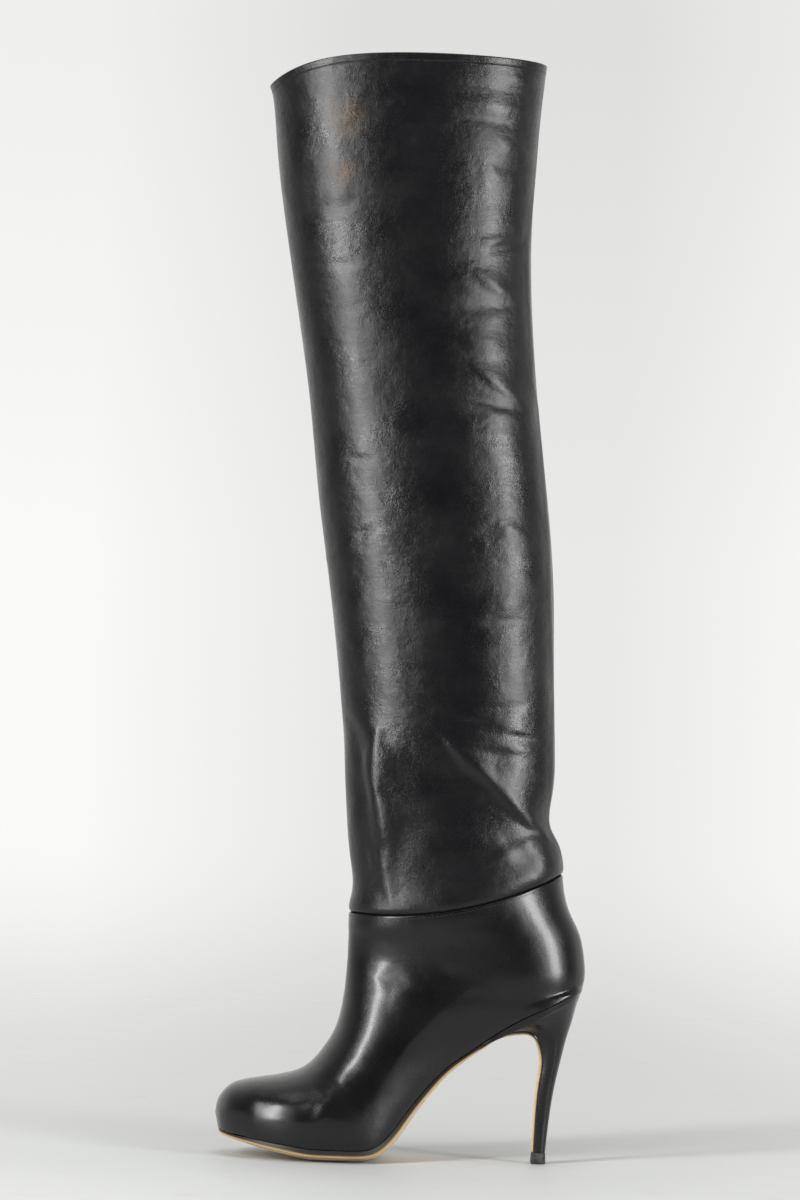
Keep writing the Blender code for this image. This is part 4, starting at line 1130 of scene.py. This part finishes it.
def make_floor():
    """Pale floor that fades into the surroundings, so no horizon shows."""
    shader = Shader("studio_floor")
    dust = shader.range(shader.noise(26, detail=6.0), (0.62, 0.74))
    base = shader.mix(shader.noise(3.0, detail=4.0), *FLOOR_GREYS)
    shader.finish(shader.mix(shader.math("MULTIPLY", dust, 0.25), base, DUST_GREY), 0.55)
    away = shader.add("ShaderNodeVectorMath", {0: shader.place}, operation="LENGTH").outputs["Value"]
    near = shader.math("POWER", shader.range(away, FLOOR_FADE[::-1]), FLOOR_FADE_POWER)
    kept = shader.math("MULTIPLY", shader.range(shader.axis(shader.place, "Y"), FLOOR_FRONT), near)
    clear = shader.add("ShaderNodeBsdfTransparent").outputs["BSDF"]
    inputs = {"Fac": shader.math("SUBTRACT", 1.0, kept), 1: shader.surface.outputs["BSDF"], 2: clear}
    shader.give(shader.output.inputs["Surface"], shader.add("ShaderNodeMixShader", inputs).outputs["Shader"])
    mesh = bpy.data.meshes.new("studio_floor")
    turn = np.linspace(0, 2 * np.pi, FLOOR_POINTS, endpoint=False)
    points = np.column_stack((np.cos(turn), np.sin(turn), 0 * turn)) * FLOOR_FADE[1]
    mesh.from_pydata(points.tolist(), [], [tuple(range(FLOOR_POINTS))])
    mesh.materials.append(shader.material)
    floor = linked("studio_floor", mesh)
    floor.location.z = -FLOOR_DROP
    return floor


def make_world():
    """Pale surroundings, darker on the camera's side so that the leather stays black there."""
    world = bpy.data.worlds.new("studio")
    bpy.context.scene.world = world
    world.use_nodes = True
    nodes = Nodes(world.node_tree)
    direction = nodes.add("ShaderNodeTexCoord").outputs["Generated"]
    ramp = nodes.add("ShaderNodeValToRGB", {"Fac": nodes.range(nodes.axis(direction, "Y"), (-1.0, 1.0))})
    for stop, (position, shade) in zip(ramp.color_ramp.elements, (WORLD_DARK, WORLD_PALE)):
        stop.position, stop.color = position, shade
    across = nodes.math("SUBTRACT", nodes.axis(direction, "X"), BACKDROP_MIDDLE)
    sides = nodes.range(nodes.math("ABSOLUTE", across), BACKDROP_SIDES[:2], (BACKDROP_SIDES[2], 1.0))
    top = nodes.range(nodes.axis(direction, "Z"), BACKDROP_TOP[:2], (1.0, BACKDROP_TOP[2]))
    background = world.node_tree.nodes["Background"].inputs
    nodes.give(background["Color"], ramp.outputs["Color"])
    nodes.give(background["Strength"], nodes.math("MULTIPLY", sides, top))


def make_light(name, azimuth, height, distance, size, power):
    """A soft box aimed at the boot; azimuth 0 is the camera's side, positive towards the heel."""
    light = bpy.data.lights.new(name, "AREA")
    light.shape = "RECTANGLE"
    light.size, light.size_y = size
    light.energy = power
    thing = linked(name, light)
    turn = np.radians(azimuth)
    thing.location = (np.sin(turn) * distance, -np.cos(turn) * distance, height)
    aim = Vector((0.0, 0.0, LIGHT_AIM)) - thing.location
    thing.rotation_euler = aim.to_track_quat("-Z", "Y").to_euler()


def set_colours():
    """Shows the light as it is, without a film curve."""
    view = bpy.context.scene.view_settings
    view.view_transform = "Standard"
    view.look = "None"


def make_camera():
    """The photo's camera: a little towards the toe, level with the leg's lower half, slightly rolled."""
    aim = Vector(CAMERA_AIM)
    turn = np.radians(CAMERA_AZIMUTH)
    across, back = np.sin(turn) * CAMERA_DISTANCE, np.cos(turn) * CAMERA_DISTANCE
    place = Vector((aim.x + across, aim.y - back, CAMERA_HEIGHT))
    forward = (aim - place).normalized()
    right = forward.cross(Vector((0.0, 0.0, 1.0))).normalized()
    up = right.cross(forward)
    roll = np.radians(CAMERA_ROLL)
    across = right * np.cos(roll) + up * np.sin(roll)
    upright = up * np.cos(roll) - right * np.sin(roll)
    data = bpy.data.cameras.new("photo_camera")
    data.sensor_width = SENSOR
    data.lens = SENSOR * (aim - place).length / PHOTO_HEIGHT
    camera = linked("photo_camera", data)
    axes = Matrix((across, upright, -forward)).transposed().to_4x4()
    camera.matrix_world = Matrix.Translation(place) @ axes
    bpy.context.scene.camera = camera


def main():
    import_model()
    smooth, soft, lining, thread = smooth_leather(), soft_leather(), kid_leather(*LINING), black_thread()

    rows, knots = boot_rows()
    places, fine = smooth_rows(rows, knots)
    grid = even_counter(boot_grid(fine), places, knots)
    labels = grid_labels(grid, row_at(places, knots[SEAT_END]))
    normals = grid_normals(grid, labels)
    bottom = Bottom(grid, places, knots)

    foot, foot_face, below_seam = make_upper(grid, normals, labels, places, knots, bottom, [smooth, lining])
    leg, leg_face, below_top = make_shaft(grid, normals, labels, places, knots, [soft, lining])
    ankle_line = line_on_grid(foot_face, below_seam, ANKLE_STITCH_DROP)
    top_line = line_on_grid(leg_face, below_top, TOP_STITCH_DROP)
    pieces = (
        (foot, "upper", "smooth_black_leather"),
        (leg, "shaft", "soft_black_leather"),
        (make_sole(bottom, knots, [sole_leather()]), "outsole", "tan_sole_leather"),
        (make_heel(bottom, [smooth]), "heel", "smooth_black_leather"),
        (make_top_piece([tip_rubber()]), "top_piece", "black_rubber"),
        (make_insole(bottom, knots, [kid_leather(*SOCK)]), "insole", "insole_leather"),
        (stitch_row("ankle_stitches", ankle_line, thread), None, "smooth_black_leather"),
        (stitch_row("top_stitches", top_line, thread), None, "soft_black_leather"),
    )
    for thing, node, slot in pieces:
        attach(thing, "root")
        if node:
            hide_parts(node)

    make_floor()
    make_world()
    set_colours()
    for light in LIGHTS:
        make_light(*light)
    make_camera()


main()
